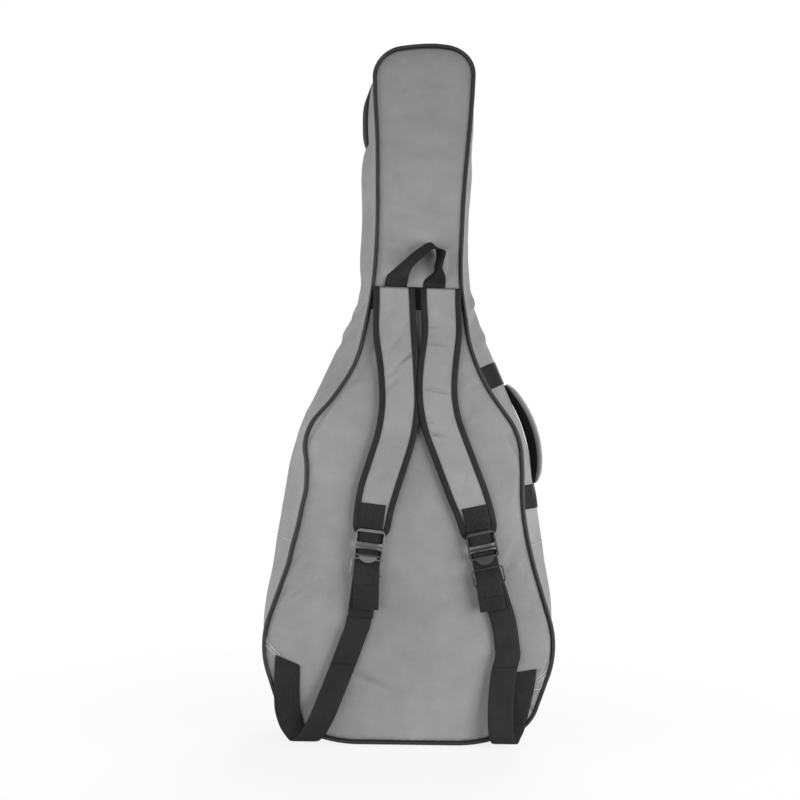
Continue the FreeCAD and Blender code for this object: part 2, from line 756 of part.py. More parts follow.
def make_buckle_webbing(side):
    # the loop from the pad round the upper bar
    wrap_low = -loop_bar_drop - bar_height / 2 - wrap
    loop = strip([(loop_front, rim_height / 2, 1), (loop_front, wrap_low, wrap + 0.6),
                  (-loop_front, wrap_low, wrap + 0.6), (-loop_front, -buckle_rise - layer_clearance, 1)])
    # the load webbing comes up behind, goes over the lock bar and hangs down in front of the keeper
    wrap_high = -lock_bar_drop + bar_height / 2 + wrap
    top = -keeper_drop[side]
    bottom_bar = top - keeper_height + keeper_wire
    load = strip([(lock_behind, -load_end, 1), (lock_behind, wrap_high, 1.6), (lock_front, wrap_high, 1.6),
                  (lock_front, top - keeper_wire - 2, 6), (tail_front, bottom_bar + 7, 6),
                  (tail_front, -tail_end[side], 1)])
    # a short loop holds the keeper's lower bar
    wrap_bar = bottom_bar + wrap
    hem = strip([(keeper_front, -hem_end, 1), (keeper_front, wrap_bar, 1.6), (keeper_back, wrap_bar, 1.6),
                 (keeper_back, -keeper_loop_end, 1)])
    return Part.makeCompound([loop, load, hem])


for side in strap_lines:
    patch_face = -strap_half + buckle_forward - strap_binding_thickness
    patch_low = rim_height / 2 + strap_gap
    patch = block(vec(-webbing_width / 2, patch_face - webbing_thickness, patch_low),
                  vec(webbing_width / 2, patch_face, patch_low + patch_length))
    parts[side + "_strap_patch"] = at_buckle(patch, side)
    parts[side + "_ladder_lock"] = at_buckle(make_ladder_lock(), side)
    parts[side + "_keeper_ring"] = at_buckle(make_keeper(side), side)
    parts[side + "_buckle_webbing"] = at_buckle(make_buckle_webbing(side), side)
    drops = (load_end + layer_clearance, load_end + lower_webbing_lead)
    lead = [at_buckle(Part.Vertex(0, lock_behind, -drop), side).Point for drop in drops]
    across = FreeCAD.Rotation(y_axis, strap_end(side)[1]).multVec(x_axis)
    stations = [(lead[0], across), (lead[1], across)] + [(point, x_axis) for point in lower_webbing_points[side]]
    parts[side + "_lower_webbing"] = ribbon(stations, webbing_width, webbing_thickness)
    hand = -1 if side == "left" else 1
    corners = [(hand * (lower_bout_half - inwards), z, rounding) for inwards, z, rounding in corner_tabs[side]]
    tab = plate(corners, 0, back_face - tab_thickness, back_face)
    edge = panel(back_corners, seam_tuck + layer_clearance, 2 * back_face, 0)
    parts[side + "_anchor_tab"] = tab.common(edge)

# --- hang loop ------------------------------------------------------------------------------------

root = vec(0, back_face, strap_top + hang_loop_rise)
parts["hang_loop"] = ribbon([(root + point, side) for point, side in hang_loop_points],
                            hang_loop_width, webbing_thickness)

# --- side handle ----------------------------------------------------------------------------------

def crest(height):
    # the right-hand point of the widest outline at this height
    ray = Part.LineSegment(vec(0, 0, height), vec(far, 0, height)).toShape()
    return outline(wide_corners).section(ray).Vertexes[0].Point


def crest_frame(height, step=5.0):
    # the outward direction beside that point
    low, high = crest(height - step), crest(height + step)
    along = (high - low).normalize()
    return crest(height), vec(along.z, 0, -along.x)


for name, height in (("upper", handle_band_high), ("lower", handle_band_low)):
    centre, outward = crest_frame(height)
    slab = block(vec(-20, -far, -handle_band_width / 2), vec(20, far, handle_band_width / 2))
    slab.rotate(origin, y_axis, math.degrees(math.atan2(-outward.z, outward.x)))
    slab.translate(centre)
    ends = [at_depth(Part.Vertex(0, 0, height), share).Point.y for share in (back_shares[0], back_shares[-1])]
    reach = block(vec(0, ends[0] + handle_band_margin, 0), vec(far, ends[1] - handle_band_margin, far))
    band = wall(back_shares, -webbing_thickness - band_clearance, -band_clearance)
    parts["handle_band_" + name] = band.common(slab).common(reach)


def handle_point(height, rise, rounding):
    centre, outward = crest_frame(height)
    point = centre + outward * rise
    return (point.x, point.z, rounding)


handle_high = handle_band_high - handle_band_width / 2 - handle_gap
handle_low = handle_band_low + handle_band_width / 2 + handle_gap
mid_rise = handle_rise - handle_thickness / 2
handle_span = handle_high - handle_low
core_line = [
    handle_point(handle_high, handle_root_rise, 1.0),
    handle_point(handle_high - handle_span * 0.2, mid_rise, 60.0),
    handle_point(handle_high - handle_span * 0.5, mid_rise + 1.5, 300.0),
    handle_point(handle_low + handle_span * 0.2, mid_rise, 60.0),
    handle_point(handle_low, handle_root_rise, 1.0),
]
core = plate(band_corners(core_line, webbing_thickness), 0, -handle_core_width / 2, handle_core_width / 2)
grip_room = block(vec(-far, -far, handle_low + handle_grip_inset), vec(far, far, handle_high - handle_grip_inset))
grip = plate(band_corners(core_line, handle_thickness), 0, -handle_width / 2, handle_width / 2)
grip = grip.common(grip_room)
parts["side_handle_grip"] = at_depth(grip.cut(core), widest_share)
parts["side_handle_webbing"] = at_depth(core, widest_share)

# --- files ----------------------------------------------------------------------------------------

parts["bottom_gusset_cover"] = parts["bottom_gusset_cover"].common(floor_up)
os.makedirs("parts", exist_ok=True)
for node, shape in parts.items():
    shape.exportStep("parts/" + node + ".step")
print(len(parts), "parts written")
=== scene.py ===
import math

import bmesh
import bpy
from mathutils import Matrix, Vector, noise
from mathutils.kdtree import KDTree


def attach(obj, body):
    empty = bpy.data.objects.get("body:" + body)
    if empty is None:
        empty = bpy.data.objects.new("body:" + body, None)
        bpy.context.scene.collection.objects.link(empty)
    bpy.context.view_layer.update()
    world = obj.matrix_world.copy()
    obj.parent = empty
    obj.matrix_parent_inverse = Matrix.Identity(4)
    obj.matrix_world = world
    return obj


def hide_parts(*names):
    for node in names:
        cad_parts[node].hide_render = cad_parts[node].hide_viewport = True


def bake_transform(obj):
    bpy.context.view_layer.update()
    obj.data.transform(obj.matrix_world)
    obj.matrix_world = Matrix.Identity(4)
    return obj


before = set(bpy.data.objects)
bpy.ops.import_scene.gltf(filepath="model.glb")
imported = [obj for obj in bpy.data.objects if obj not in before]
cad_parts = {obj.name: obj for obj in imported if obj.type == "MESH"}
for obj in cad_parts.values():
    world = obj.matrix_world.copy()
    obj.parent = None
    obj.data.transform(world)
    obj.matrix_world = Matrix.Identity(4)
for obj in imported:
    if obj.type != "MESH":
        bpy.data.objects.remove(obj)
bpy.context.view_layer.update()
bpy.ops.object.select_all(action="DESELECT")
mm = 0.001

# Lengths below are in millimetres until a mesh is made. X runs across the bag, the straps face -Y, Z is up.

bag = {
    "back": [(0, 1068, 300), (75, 1061, 44), (63, 603, 412), (162, 464, 92),
             (161, 337, 310), (224.6, 145, 130), (182, 25.8, 60), (100, 2.8, 200)],
    "wide": [(0, 1072, 300), (84, 1065, 44), (72, 690, 412), (182, 464, 300),
             (196, 337, 310), (226.1, 145, 130), (182, 23, 60), (100, -0.6, 200)],
    "frontSwell": 0.35,      # how much of the swelling the front seam has
    "bulge": 0.4,            # 0 keeps the gusset folded at its crest, 1 makes it round
    "depth": 130, "headDepth": 97,
    "cloth": 1.2, "foam": 10.0, "piping": 2.8,
    "fold": 300, "zipper": 0.74, "tape": 9.0,
    "step": 3.6,
    # on each side: height, reach, power and sideways move of the back seam
    "wander": (((850, 110, 4, 4.2), (568, 48, 2, 6.5), (462, 38, 4, -4.3), (322, 45, 4, -4.3)),
               ((345, 170, 4, 2.2), (358, 75, 4, 3.6), (570, 58, 4, -4.5))),
}
seamBack = -bag["depth"] / 2 + bag["cloth"]
seamSpan = bag["depth"] - 2 * bag["cloth"]
seamTuck = bag["piping"] + 0.1
lean = math.atan((bag["depth"] - bag["headDepth"]) / 1068)


# --- outlines and surfaces ---

def spread(first, last, count):
    return [first + (last - first) * k / (count - 1) for k in range(count)]


def mixCorners(first, second, share):
    return [tuple(a + (b - a) * share for a, b in zip(p, q)) for p, q in zip(first, second)]


def mirrored(half):
    return half + [(-x, z, r) for x, z, r in reversed(half[1:])]


def runsOf(corners, closed=True):
    runs = []
    for (ax, az, _), (bx, bz, _) in zip(corners, corners[1:] + (corners[:1] if closed else [])):
        size = math.hypot(bx - ax, bz - az)
        runs.append(((bx - ax) / size, (bz - az) / size, size))
    return runs


def insetCorners(corners, inset):
    # moves every side of a clockwise outline inwards
    runs = runsOf(corners)
    moved = []
    for i, (x, z, r) in enumerate(corners):
        ax, az, _ = runs[i - 1]
        bx, bz, _ = runs[i]
        k = inset / (1 + ax * bx + az * bz)
        r = r - inset if ax * bz - az * bx < 0 else r + inset
        moved.append((x + (az + bz) * k, z - (ax + bx) * k, max(r, 0.3)))
    return moved


def bends(corners, closed=True):
    # start, end, turn and radius of the arc at each corner
    runs = runsOf(corners, closed)
    count = len(corners)
    turns, reach = [0.0] * count, [0.0] * count
    for i in range(count):
        if closed or 0 < i < count - 1:
            ax, az, _ = runs[i - 1]
            bx, bz, _ = runs[i]
            turns[i] = math.acos(max(-1.0, min(1.0, ax * bx + az * bz)))
            reach[i] = corners[i][2] * math.tan(turns[i] / 2)
    fit = [min(1.0, 0.98 * runs[i][2] / max(reach[i] + reach[(i + 1) % count], 1e-6)) for i in range(len(runs))]
    result = []
    for i in range(count):
        before, after = fit[i - 1] if closed or i else 1.0, fit[i % len(fit)] if i < len(fit) else 1.0
        far = reach[i] * min(before, after)
        x, z = corners[i][:2]
        a = runs[i - 1] if closed or i else runs[0]
        b = runs[i] if i < len(runs) else runs[-1]
        result.append(((x - a[0] * far, z - a[1] * far), (x + b[0] * far, z + b[1] * far), a, b, turns[i], far))
    return result


def arcPoints(bend, count):
    # points of one rounded corner, its ends included
    (sx, sz), _, a, b, turn, far = bend
    if turn < 1e-6 or far < 1e-6:
        return [(sx, sz)] * (count + 1)
    hand = 1 if a[0] * b[1] - a[1] * b[0] > 0 else -1
    radius = far / math.tan(turn / 2)
    cx, cz = sx - hand * a[1] * radius, sz + hand * a[0] * radius
    points = []
    for k in range(count + 1):
        t = hand * turn * k / count
        dx, dz = sx - cx, sz - cz
        points.append((cx + dx * math.cos(t) - dz * math.sin(t), cz + dx * math.sin(t) + dz * math.cos(t)))
    return points


def stepsFor(corners, step):
    # how many pieces each corner and each side is cut into
    arcs = bends(corners)
    counts = []
    for bend, following in zip(arcs, arcs[1:] + arcs[:1]):
        run = math.hypot(following[0][0] - bend[1][0], following[0][1] - bend[1][1])
        counts.append((max(4, round(arcLength(bend) / step)), max(1, round(run / step))))
    return counts


def ringPoints(corners, inset, counts):
    arcs = bends(insetCorners(corners, inset))
    points = []
    for bend, following, (arcCount, runCount) in zip(arcs, arcs[1:] + arcs[:1], counts):
        points += arcPoints(bend, arcCount)
        (ax, az), (bx, bz) = bend[1], following[0]
        points += [(ax + (bx - ax) * k / runCount, az + (bz - az) * k / runCount) for k in range(1, runCount)]
    return points


def pathPoints(corners, step):
    # an open path with rounded corners, cut into even pieces
    points = []
    for bend in bends(corners, closed=False):
        arc = arcLength(bend) if bend[4] > 1e-6 else 0
        points += arcPoints(bend, max(1, round(arc / 1.5))) if arc else [bend[0]]
    return evenly(points, step)


def evenly(points, step=None, count=None):
    points = [Vector(p) for p in points]
    far = lengthsOf(points)
    count = count or max(2, round(far[-1] / step) + 1)
    result, j = [], 0
    for target in spread(0, far[-1], count):
        while j < len(far) - 2 and far[j + 1] < target:
            j += 1
        run = far[j + 1] - far[j]
        result.append(points[j].lerp(points[j + 1], (target - far[j]) / run if run > 1e-9 else 0))
    return result


def lengthsOf(points):
    # how far each point lies along the line from the first
    far = [0.0]
    for a, b in zip(points, points[1:]):
        far.append(far[-1] + (b - a).length)
    return far


def sidesOf(ring):
    # each point of a closed flat outline with its unit step along it
    for i, (x, z) in enumerate(ring):
        (ax, az), (bx, bz) = ring[i - 1], ring[(i + 1) % len(ring)]
        size = math.hypot(bx - ax, bz - az) or 1
        yield x, z, (bx - ax) / size, (bz - az) / size


def arcLength(bend):
    return bend[5] / max(math.tan(bend[4] / 2), 1e-6) * bend[4]


def waves(a, b, c):
    # slow soft waves, the same on each run
    return noise.noise(Vector((a, b, c)))


def fadeIn(value, start, reach):
    # 0 before start, 1 once it is passed by reach
    return min(1.0, max(0.0, (value - start) / reach))


def smooth(t):
    return t * t * (3 - 2 * t)


backCorners, wideCorners = mirrored(bag["back"]), mirrored(bag["wide"])
frontCorners = mirrored(mixCorners(bag["back"][:6], bag["wide"][:6], bag["frontSwell"]) + bag["back"][6:])
ringCounts = stepsFor(backCorners, bag["step"])


def bulgeAt(share):
    straight = share / 0.5 if share < 0.5 else (1 - share) / 0.5
    return straight + (math.sin(straight * math.pi / 2) - straight) * bag["bulge"]


def cornersAt(share):
    return mixCorners(backCorners if share < 0.5 else frontCorners, wideCorners, bulgeAt(share))


def leaning(x, y, z, share):
    # places a point at its depth; the head widens to the right and slopes down to the left, and the
    # back seam wanders a little in and out on both sides
    widened = 6.5 * smooth(fadeIn(z, 800, 210)) * fadeIn(x, 0, 70)
    lowered = smooth(fadeIn(z, 950, 100))
    x += widened
    z -= 0.086 * max(0.0, 20 - x) * lowered
    near = min(1.0, abs(x) / 70) * (1 - share) ** 2
    for height, reach, power, move in bag["wander"][0 if x < 0 else 1]:
        x += near * move * math.exp(-abs((z - height) / reach) ** power)
    a = share * lean
    return Vector((x, y * math.cos(a) - z * math.sin(a) + seamBack + share * seamSpan,
                   y * math.sin(a) + z * math.cos(a)))


folds = {
    "factor": 1.9,
    # on each side: height, depth share, turn, half length, half width and height of a fold in the gusset
    "left": [(668, 0.30, 38, 30, 9, 3.2), (632, 0.34, 36, 34, 9, 3.4), (596, 0.34, 40, 36, 9, 2.6),
             (560, 0.30, 46, 40, 8, 1.6), (940, 0.24, 78, 50, 6, 1.6), (905, 0.30, 75, 60, 7, 1.4),
             (850, 0.22, 85, 60, 8, -1.2), (790, 0.32, 80, 70, 9, 1.2), (455, 0.30, 62, 60, 10, 1.6),
             (240, 0.35, 80, 60, 10, 1.2), (700, 0.28, 42, 26, 8, 2.2), (180, 0.22, 70, 50, 8, -1.0),
             (655, 0.22, 34, 30, 3.6, 1.5), (618, 0.26, 34, 36, 3.8, 1.7), (640, 0.42, 30, 26, 3.6, 1.3),
             (585, 0.2, 40, 34, 3.6, 1.4), (540, 0.24, 52, 44, 3.8, 1.3), (505, 0.18, 62, 50, 3.6, 1.0),
             (905, 0.34, 40, 22, 4.0, 1.2), (880, 0.2, 80, 40, 3.6, 0.9), (420, 0.2, 75, 50, 3.6, 0.8)],
    "right": [(668, 0.34, -40, 22, 8, 2.6), (640, 0.28, -44, 24, 8, -2.0), (610, 0.34, -38, 26, 8, 2.2),
              (400, 0.30, -70, 30, 7, 1.2), (470, 0.30, -75, 50, 9, 1.0), (800, 0.26, -85, 70, 8, 1.0),
              (930, 0.3, -80, 60, 7, 1.2), (220, 0.3, -80, 60, 9, 1.2),
              (655, 0.2, -38, 20, 3.6, 1.2), (420, 0.24, -70, 26, 3.6, 1.0), (395, 0.2, -62, 22, 3.6, 0.9)],
}


# on each side: lift, depth share and its reach, then the heights where a swelling starts and ends, each with
# how softly it does
swells = {
    "left": [(15.0, 0.38, 0.17, 705, 12, 908, 7), (5.0, 0.38, 0.22, 180, 14, 415, 12),
             (3.0, 0.38, 0.22, 535, 12, 640, 14)],
    "right": [(7.5, 0.36, 0.17, 690, 12, 895, 14), (6.0, 0.36, 0.20, 550, 12, 672, 14),
              (7.5, 0.34, 0.20, 190, 14, 388, 8), (2.5, 0.24, 0.14, 397, 8, 520, 14)],
}


def gussetRelief(x, z, share):
    # how far the gusset's cloth stands out from its even form
    side = "left" if x < 0 else "right"
    edge = math.sin(math.pi * max(0.0, min(1.0, share))) ** 0.7
    across = share * seamSpan
    rise = 1.4 * waves(x * 0.012, across * 0.02, z * 0.012)
    rise += 0.9 * waves(x * 0.01 + 7, across * 0.055, z * 0.008)
    rise += 0.45 * waves(x * 0.03 + 3, across * 0.06, z * 0.035)
    for height, place, turn, length, width, lift in folds[side]:
        dz, dy = z - height, across - place * seamSpan
        t = math.radians(turn)
        p, q = dz * math.sin(t) - dy * math.cos(t), dz * math.cos(t) + dy * math.sin(t)
        if abs(p) < 2.5 * length and abs(q) < 3 * width:
            u = (q / width) ** 2
            rise += folds["factor"] * lift * (1 - 0.55 * u) * math.exp(-0.6 * u - (p / length) ** 2)
    step = lambda v: 1 / (1 + math.exp(-v))
    for lift, place, width, low, lowSoft, high, highSoft in swells[side]:
        level = step((z - low) / lowSoft) * step((high - z) / highSoft)
        rise += lift * math.exp(-((share - place) / width) ** 2) * level
    if side == "left":   # the zipper stands out beside the head
        rise += 22.0 * math.exp(-((z - 967) / 54) ** 4 - ((share - 0.83) / 0.12) ** 2)
    rise -= 7.0 * step((z - 1000) / 14) * math.exp(-((share - 0.42) / 0.3) ** 2)
    return rise * edge * fadeIn(z, 3, 25)


ringStore = {}


def ringAt(share, lift=0.0, relief=True):
    key = (round(share, 5), round(lift, 3), relief)
    if key not in ringStore:
        inset = seamTuck * (1 - bulgeAt(share)) - lift
        flat = ringPoints(cornersAt(share), inset, ringCounts)
        ring = []
        for x, z, alongX, alongZ in sidesOf(flat):
            out = gussetRelief(x, z, share) if relief else 0
            p = leaning(x - alongZ * out, 0, z + alongX * out, share)
            ring.append(Vector((p.x, p.y, max(p.z, 0.0 if lift >= 0 else -lift))))
        ringStore[key] = ring
    return ringStore[key]


def onGusset(place, share, lift):
    # a point of the gusset at this place along the ring, lifted off it
    ring = ringAt(share, lift)
    i = int(math.floor(place))
    return ring[i % len(ring)].lerp(ring[(i + 1) % len(ring)], place - i)


def placeAt(height, side, share=0.5):
    ring = ringAt(share, 0.0, False)
    half = len(ring) // 2
    best = min((abs(p.z - height), i) for i, p in enumerate(ring) if p.x * side > 0 and p.z > 30)
    return best[1]


# --- meshes ---

class Shell:
    # gathers points, faces, flat coordinates and finish numbers of one piece
    def __init__(self):
        self.points, self.faces, self.flats, self.slots = [], [], [], []

    def grid(self, rows, flat, slot=0, closed=False):
        start, wide = len(self.points), len(rows[0])
        for row in rows:
            self.points += row
        for i in range(len(rows) - 1):
            for j in range(wide if closed else wide - 1):
                k = (j + 1) % wide
                here, above = start + i * wide, start + (i + 1) * wide
                self.faces.append([here + j, here + k, above + k, above + j])
                self.flats += [flat(a, b) for a, b in ((i, j), (i, j + 1), (i + 1, j + 1), (i + 1, j))]
                self.slots.append(slot)
        return start

    def ends(self, start, count, wide):
        # closes both ends of a tube of so many rings
        last = start + (count - 1) * wide
        self.face([start + k for k in range(wide)][::-1])
        self.face([last + k for k in range(wide)])

    def rim(self, front, behind, columns, rows, slot=0):
        # joins the edges of two grids of the same size
        loop = [(0, j) for j in range(columns)] + [(i, columns - 1) for i in range(1, rows)]
        loop += [(rows - 1, j) for j in range(columns - 2, -1, -1)] + [(i, 0) for i in range(rows - 2, 0, -1)]
        for (i, j), (k, m) in zip(loop, loop[1:] + loop[:1]):
            here, there = i * columns + j, k * columns + m
            self.face([front + here, front + there, behind + there, behind + here], slot)

    def face(self, corners, slot=0):
        self.faces.append(corners)
        self.flats += [(0, 0)] * len(corners)
        self.slots.append(slot)

    def make(self, name, finishes, body=None, stands=(), weld=0.0):
        mesh = bpy.data.meshes.new(name)
        mesh.from_pydata([tuple(p * mm) for p in self.points], [], self.faces)
        layer = mesh.uv_layers.new(name="cloth")
        layer.data.foreach_set("uv", [c * mm for pair in self.flats for c in pair])
        mesh.polygons.foreach_set("material_index", self.slots)
        mesh.polygons.foreach_set("use_smooth", [True] * len(mesh.polygons))
        piece = bpy.data.objects.new(name, mesh)
        bpy.context.scene.collection.objects.link(piece)
        for finish in finishes:
            mesh.materials.append(finish)
        work = bmesh.new()
        work.from_mesh(mesh)
        if weld:
            bmesh.ops.remove_doubles(work, verts=work.verts, dist=weld * mm)
        bmesh.ops.recalc_face_normals(work, faces=work.faces)
        work.to_mesh(mesh)
        work.free()
        if body:
            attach(piece, body)
        if stands:
            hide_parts(*stands)
        return piece


def cutAt(piece, height, keepAbove):
    # cuts a closed piece level and closes it again
    work = bmesh.new()
    work.from_mesh(piece.data)
    bmesh.ops.bisect_plane(work, geom=work.verts[:] + work.edges[:] + work.faces[:], plane_co=(0, 0, height * mm),
                           plane_no=(0, 0, 1), clear_outer=not keepAbove, clear_inner=keepAbove)
    bmesh.ops.holes_fill(work, edges=[e for e in work.edges if e.is_boundary], sides=0)
    bmesh.ops.recalc_face_normals(work, faces=work.faces)
    work.to_mesh(piece.data)
    work.free()


def smoothPath(knots, step):
    # a smooth line through knots of (centre, side), cut into even pieces
    result = []
    for i in range(len(knots) - 1):
        a, b, c, d = (knots[max(0, min(len(knots) - 1, i + k))] for k in (-1, 0, 1, 2))
        pieces = max(2, round((c[0] - b[0]).length / step))
        for k in range(pieces):
            t = k / pieces
            w = (-0.5 * t + t * t - 0.5 * t ** 3, 1 - 2.5 * t * t + 1.5 * t ** 3,
                 0.5 * t + 2 * t * t - 1.5 * t ** 3, -0.5 * t * t + 0.5 * t ** 3)
            result.append(tuple(sum((share * knot[n] for share, knot in zip(w, (a, b, c, d))), Vector((0, 0, 0)))
                                for n in (0, 1)))
    result.append(knots[-1])
    return result


def webbing(name, stations, width, thickness, finishes, body=None, stands=(), shell=None):
    # flat webbing with soft edges; its first finish is on the side that faces along side x travel
    own = shell is None
    shell = shell or Shell()
    columns, rows = 11, []
    far = lengthsOf([centre for centre, _ in stations])
    for i, (centre, side) in enumerate(stations):
        before, after = stations[max(i - 1, 0)][0], stations[min(i + 1, len(stations) - 1)][0]
        side = side.normalized()
        across = (after - before).cross(side).normalized()
        row = []
        for hand in (1, -1):
            for u in spread(-1, 1, columns):
                u *= hand
                thin = thickness / 2 * (1 - abs(u) ** 8 * 0.75)
                row.append(centre + side * (u * width / 2) + across * (hand * thin))
        rows.append(row)
    flats = [-width / 2 + width * j / (columns - 1) for j in range(columns)]
    flats = flats + [width + f for f in flats] + [2 * width]
    base = len(shell.faces)
    start = shell.grid(rows, lambda i, j: (flats[j], far[i]), closed=True)
    wide = 2 * columns
    for f in range(base, len(shell.faces)):
        shell.slots[f] = 1 if len(finishes) > 1 and (f - base) % wide >= columns else 0
    shell.ends(start, len(rows), wide)
    return shell.make(name, finishes, body, stands) if own else shell


# --- finishes ---

def grey(level):
    # linear value of a grey written 0 to 255
    c = level / 255
    return ((c + 0.055) / 1.055) ** 2.4 if c > 0.04 else c / 12.92


def link(tree, source, target):
    tree.links.new(source, target)


def node(tree, kind, **values):
    made = tree.nodes.new(kind)
    for key, value in values.items():
        setattr(made, key, value)
    return made


def maths(tree, what, a, b=None, c=None):
    made = node(tree, "ShaderNodeMath", operation=what)
    for slot, value in zip(made.inputs, (a, b, c)):
        if value is None:
            continue
        if isinstance(value, (int, float)):
            slot.default_value = value
        else:
            link(tree, value, slot)
    return made.outputs[0]


def makeGroup(name, inputs, outputs):
    # a group that reads a vector and some numbers, and gives numbers
    tree = bpy.data.node_groups.new(name, "ShaderNodeTree")
    tree.interface.new_socket("Vector", in_out="INPUT", socket_type="NodeSocketVector")
    for label, value in inputs.items():
        tree.interface.new_socket(label, in_out="INPUT", socket_type="NodeSocketFloat").default_value = value
    for label in outputs:
        tree.interface.new_socket(label, in_out="OUTPUT", socket_type="NodeSocketFloat")
    return tree, node(tree, "NodeGroupInput"), node(tree, "NodeGroupOutput")


def weaveGroup():
    # plain weave: threads over and under, with slubs
    tree, into, out = makeGroup("plainWeave", {"Threads": 1400.0, "Uneven": 0.5}, ("Height", "Tone"))
    split = node(tree, "ShaderNodeSeparateXYZ")
    link(tree, into.outputs["Vector"], split.inputs[0])
    turn = maths(tree, "MULTIPLY", into.outputs["Threads"], math.pi)
    warp = maths(tree, "SINE", maths(tree, "MULTIPLY", split.outputs[0], turn))
    weft = maths(tree, "SINE", maths(tree, "MULTIPLY", split.outputs[1], turn))
    over = maths(tree, "GREATER_THAN", maths(tree, "MULTIPLY", warp, weft), 0.0)
    up, down = maths(tree, "ABSOLUTE", warp), maths(tree, "ABSOLUTE", weft)
    height = maths(tree, "ADD", maths(tree, "MULTIPLY", up, over),
                   maths(tree, "MULTIPLY", down, maths(tree, "SUBTRACT", 1.0, over)))
    slub = node(tree, "ShaderNodeTexNoise")
    slub.inputs["Detail"].default_value = 4.0
    link(tree, into.outputs["Vector"], slub.inputs["Vector"])
    link(tree, maths(tree, "MULTIPLY", into.outputs["Threads"], 0.45), slub.inputs["Scale"])
    uneven = into.outputs["Uneven"]
    height = maths(tree, "ADD", height, maths(tree, "MULTIPLY", slub.outputs[0], uneven))
    link(tree, height, out.inputs["Height"])
    tone = maths(tree, "MULTIPLY", maths(tree, "SUBTRACT", slub.outputs[0], 0.5), uneven)
    link(tree, tone, out.inputs["Tone"])
    return tree


def ribGroup():
    # raised ribs at a slant across the flat coordinates, with thread marks along them
    tree, into, out = makeGroup("ribs", {"Ribs": 330.0, "Slant": 0.0, "Threads": 900.0}, ("Height", "Tone"))
    split = node(tree, "ShaderNodeSeparateXYZ")
    link(tree, into.outputs["Vector"], split.inputs[0])
    along = maths(tree, "ADD", split.outputs[0], maths(tree, "MULTIPLY", split.outputs[1], into.outputs["Slant"]))

    def ripple(way, often):
        turns = maths(tree, "MULTIPLY", way, often)
        return maths(tree, "SINE", maths(tree, "MULTIPLY", turns, math.tau))

    rib = ripple(along, into.outputs["Ribs"])
    rib = maths(tree, "ADD", maths(tree, "MULTIPLY", rib, 0.5), 0.5)
    thread = ripple(split.outputs[1], into.outputs["Threads"])
    mix = maths(tree, "ADD", maths(tree, "POWER", rib, 0.7), maths(tree, "MULTIPLY", thread, 0.12))
    link(tree, mix, out.inputs["Height"])
    # the tone follows the rib's height: painted shade in the grooves and lighter crests
    link(tree, rib, out.inputs["Tone"])
    return tree


def cloudGroup():
    # slow changes of tone: handling, dust and soft patches
    tree, into, out = makeGroup("clouds", {"Size": 9.0}, ("Tone",))
    wide, fine = node(tree, "ShaderNodeTexNoise"), node(tree, "ShaderNodeTexNoise")
    for texture, share in ((wide, 1.0), (fine, 6.0)):
        texture.inputs["Detail"].default_value = 5.0
        link(tree, into.outputs["Vector"], texture.inputs["Vector"])
        link(tree, maths(tree, "MULTIPLY", into.outputs["Size"], share), texture.inputs["Scale"])
    both = maths(tree, "ADD", wide.outputs[0], maths(tree, "MULTIPLY", fine.outputs[0], 0.4))
    link(tree, maths(tree, "SUBTRACT", both, 0.7), out.inputs["Tone"])
    return tree


groups = {"weave": weaveGroup(), "ribs": ribGroup(), "clouds": cloudGroup()}


def blankFinish(name, roughness, metallic=0.0, sheen=0.0, specular=0.5):
    finish = bpy.data.materials.new(name)
    finish.use_nodes = True
    tree = finish.node_tree
    tree.nodes.clear()
    shader, out = node(tree, "ShaderNodeBsdfPrincipled"), node(tree, "ShaderNodeOutputMaterial")
    shader.inputs["Roughness"].default_value = roughness
    shader.inputs["Metallic"].default_value = metallic
    shader.inputs["Sheen Weight"].default_value = sheen
    shader.inputs["Specular IOR Level"].default_value = specular
    link(tree, shader.outputs[0], out.inputs[0])
    return finish, tree, shader


def useGroup(tree, which, vector, **values):
    made = node(tree, "ShaderNodeGroup", node_tree=groups[which])
    link(tree, vector, made.inputs["Vector"])
    for key, value in values.items():
        made.inputs[key].default_value = value
    return made


def tonedColour(tree, shader, level, tone, spreadOut, tint=(1, 1, 1)):
    # the written grey, made lighter and darker by the tone
    ramp = node(tree, "ShaderNodeValToRGB")
    low, high = grey(level * (1 - spreadOut)), grey(min(255, level * (1 + spreadOut)))
    ramp.color_ramp.elements[0].color = (low * tint[0], low * tint[1], low * tint[2], 1)
    ramp.color_ramp.elements[1].color = (high * tint[0], high * tint[1], high * tint[2], 1)
    link(tree, maths(tree, "ADD", tone, 0.5), ramp.inputs[0])
    link(tree, ramp.outputs[0], shader.inputs["Base Color"])


def bumpFrom(tree, shader, height, strength, distance):
    bump = node(tree, "ShaderNodeBump")
    bump.inputs["Strength"].default_value = strength
    bump.inputs["Distance"].default_value = distance
    link(tree, height, bump.inputs["Height"])
    link(tree, bump.outputs[0], shader.inputs["Normal"])


def clothFinish(name, level, threads, uneven=0.5, spreadOut=0.16, roughness=0.9, sheen=0.03, bump=0.6):
    finish, tree, shader = blankFinish(name, roughness, sheen=sheen, specular=0.06)
    flat, solid = node(tree, "ShaderNodeUVMap", uv_map="cloth"), node(tree, "ShaderNodeTexCoord")
    weave = useGroup(tree, "weave", flat.outputs[0], Threads=threads, Uneven=uneven)
    clouds = useGroup(tree, "clouds", solid.outputs["Object"], Size=7.0)
    tone = maths(tree, "ADD", maths(tree, "MULTIPLY", weave.outputs["Tone"], 1.6),
                 maths(tree, "MULTIPLY", clouds.outputs[0], 0.8))
    tonedColour(tree, shader, level, tone, spreadOut)
    bumpFrom(tree, shader, weave.outputs["Height"], bump, 0.00022)
    return finish


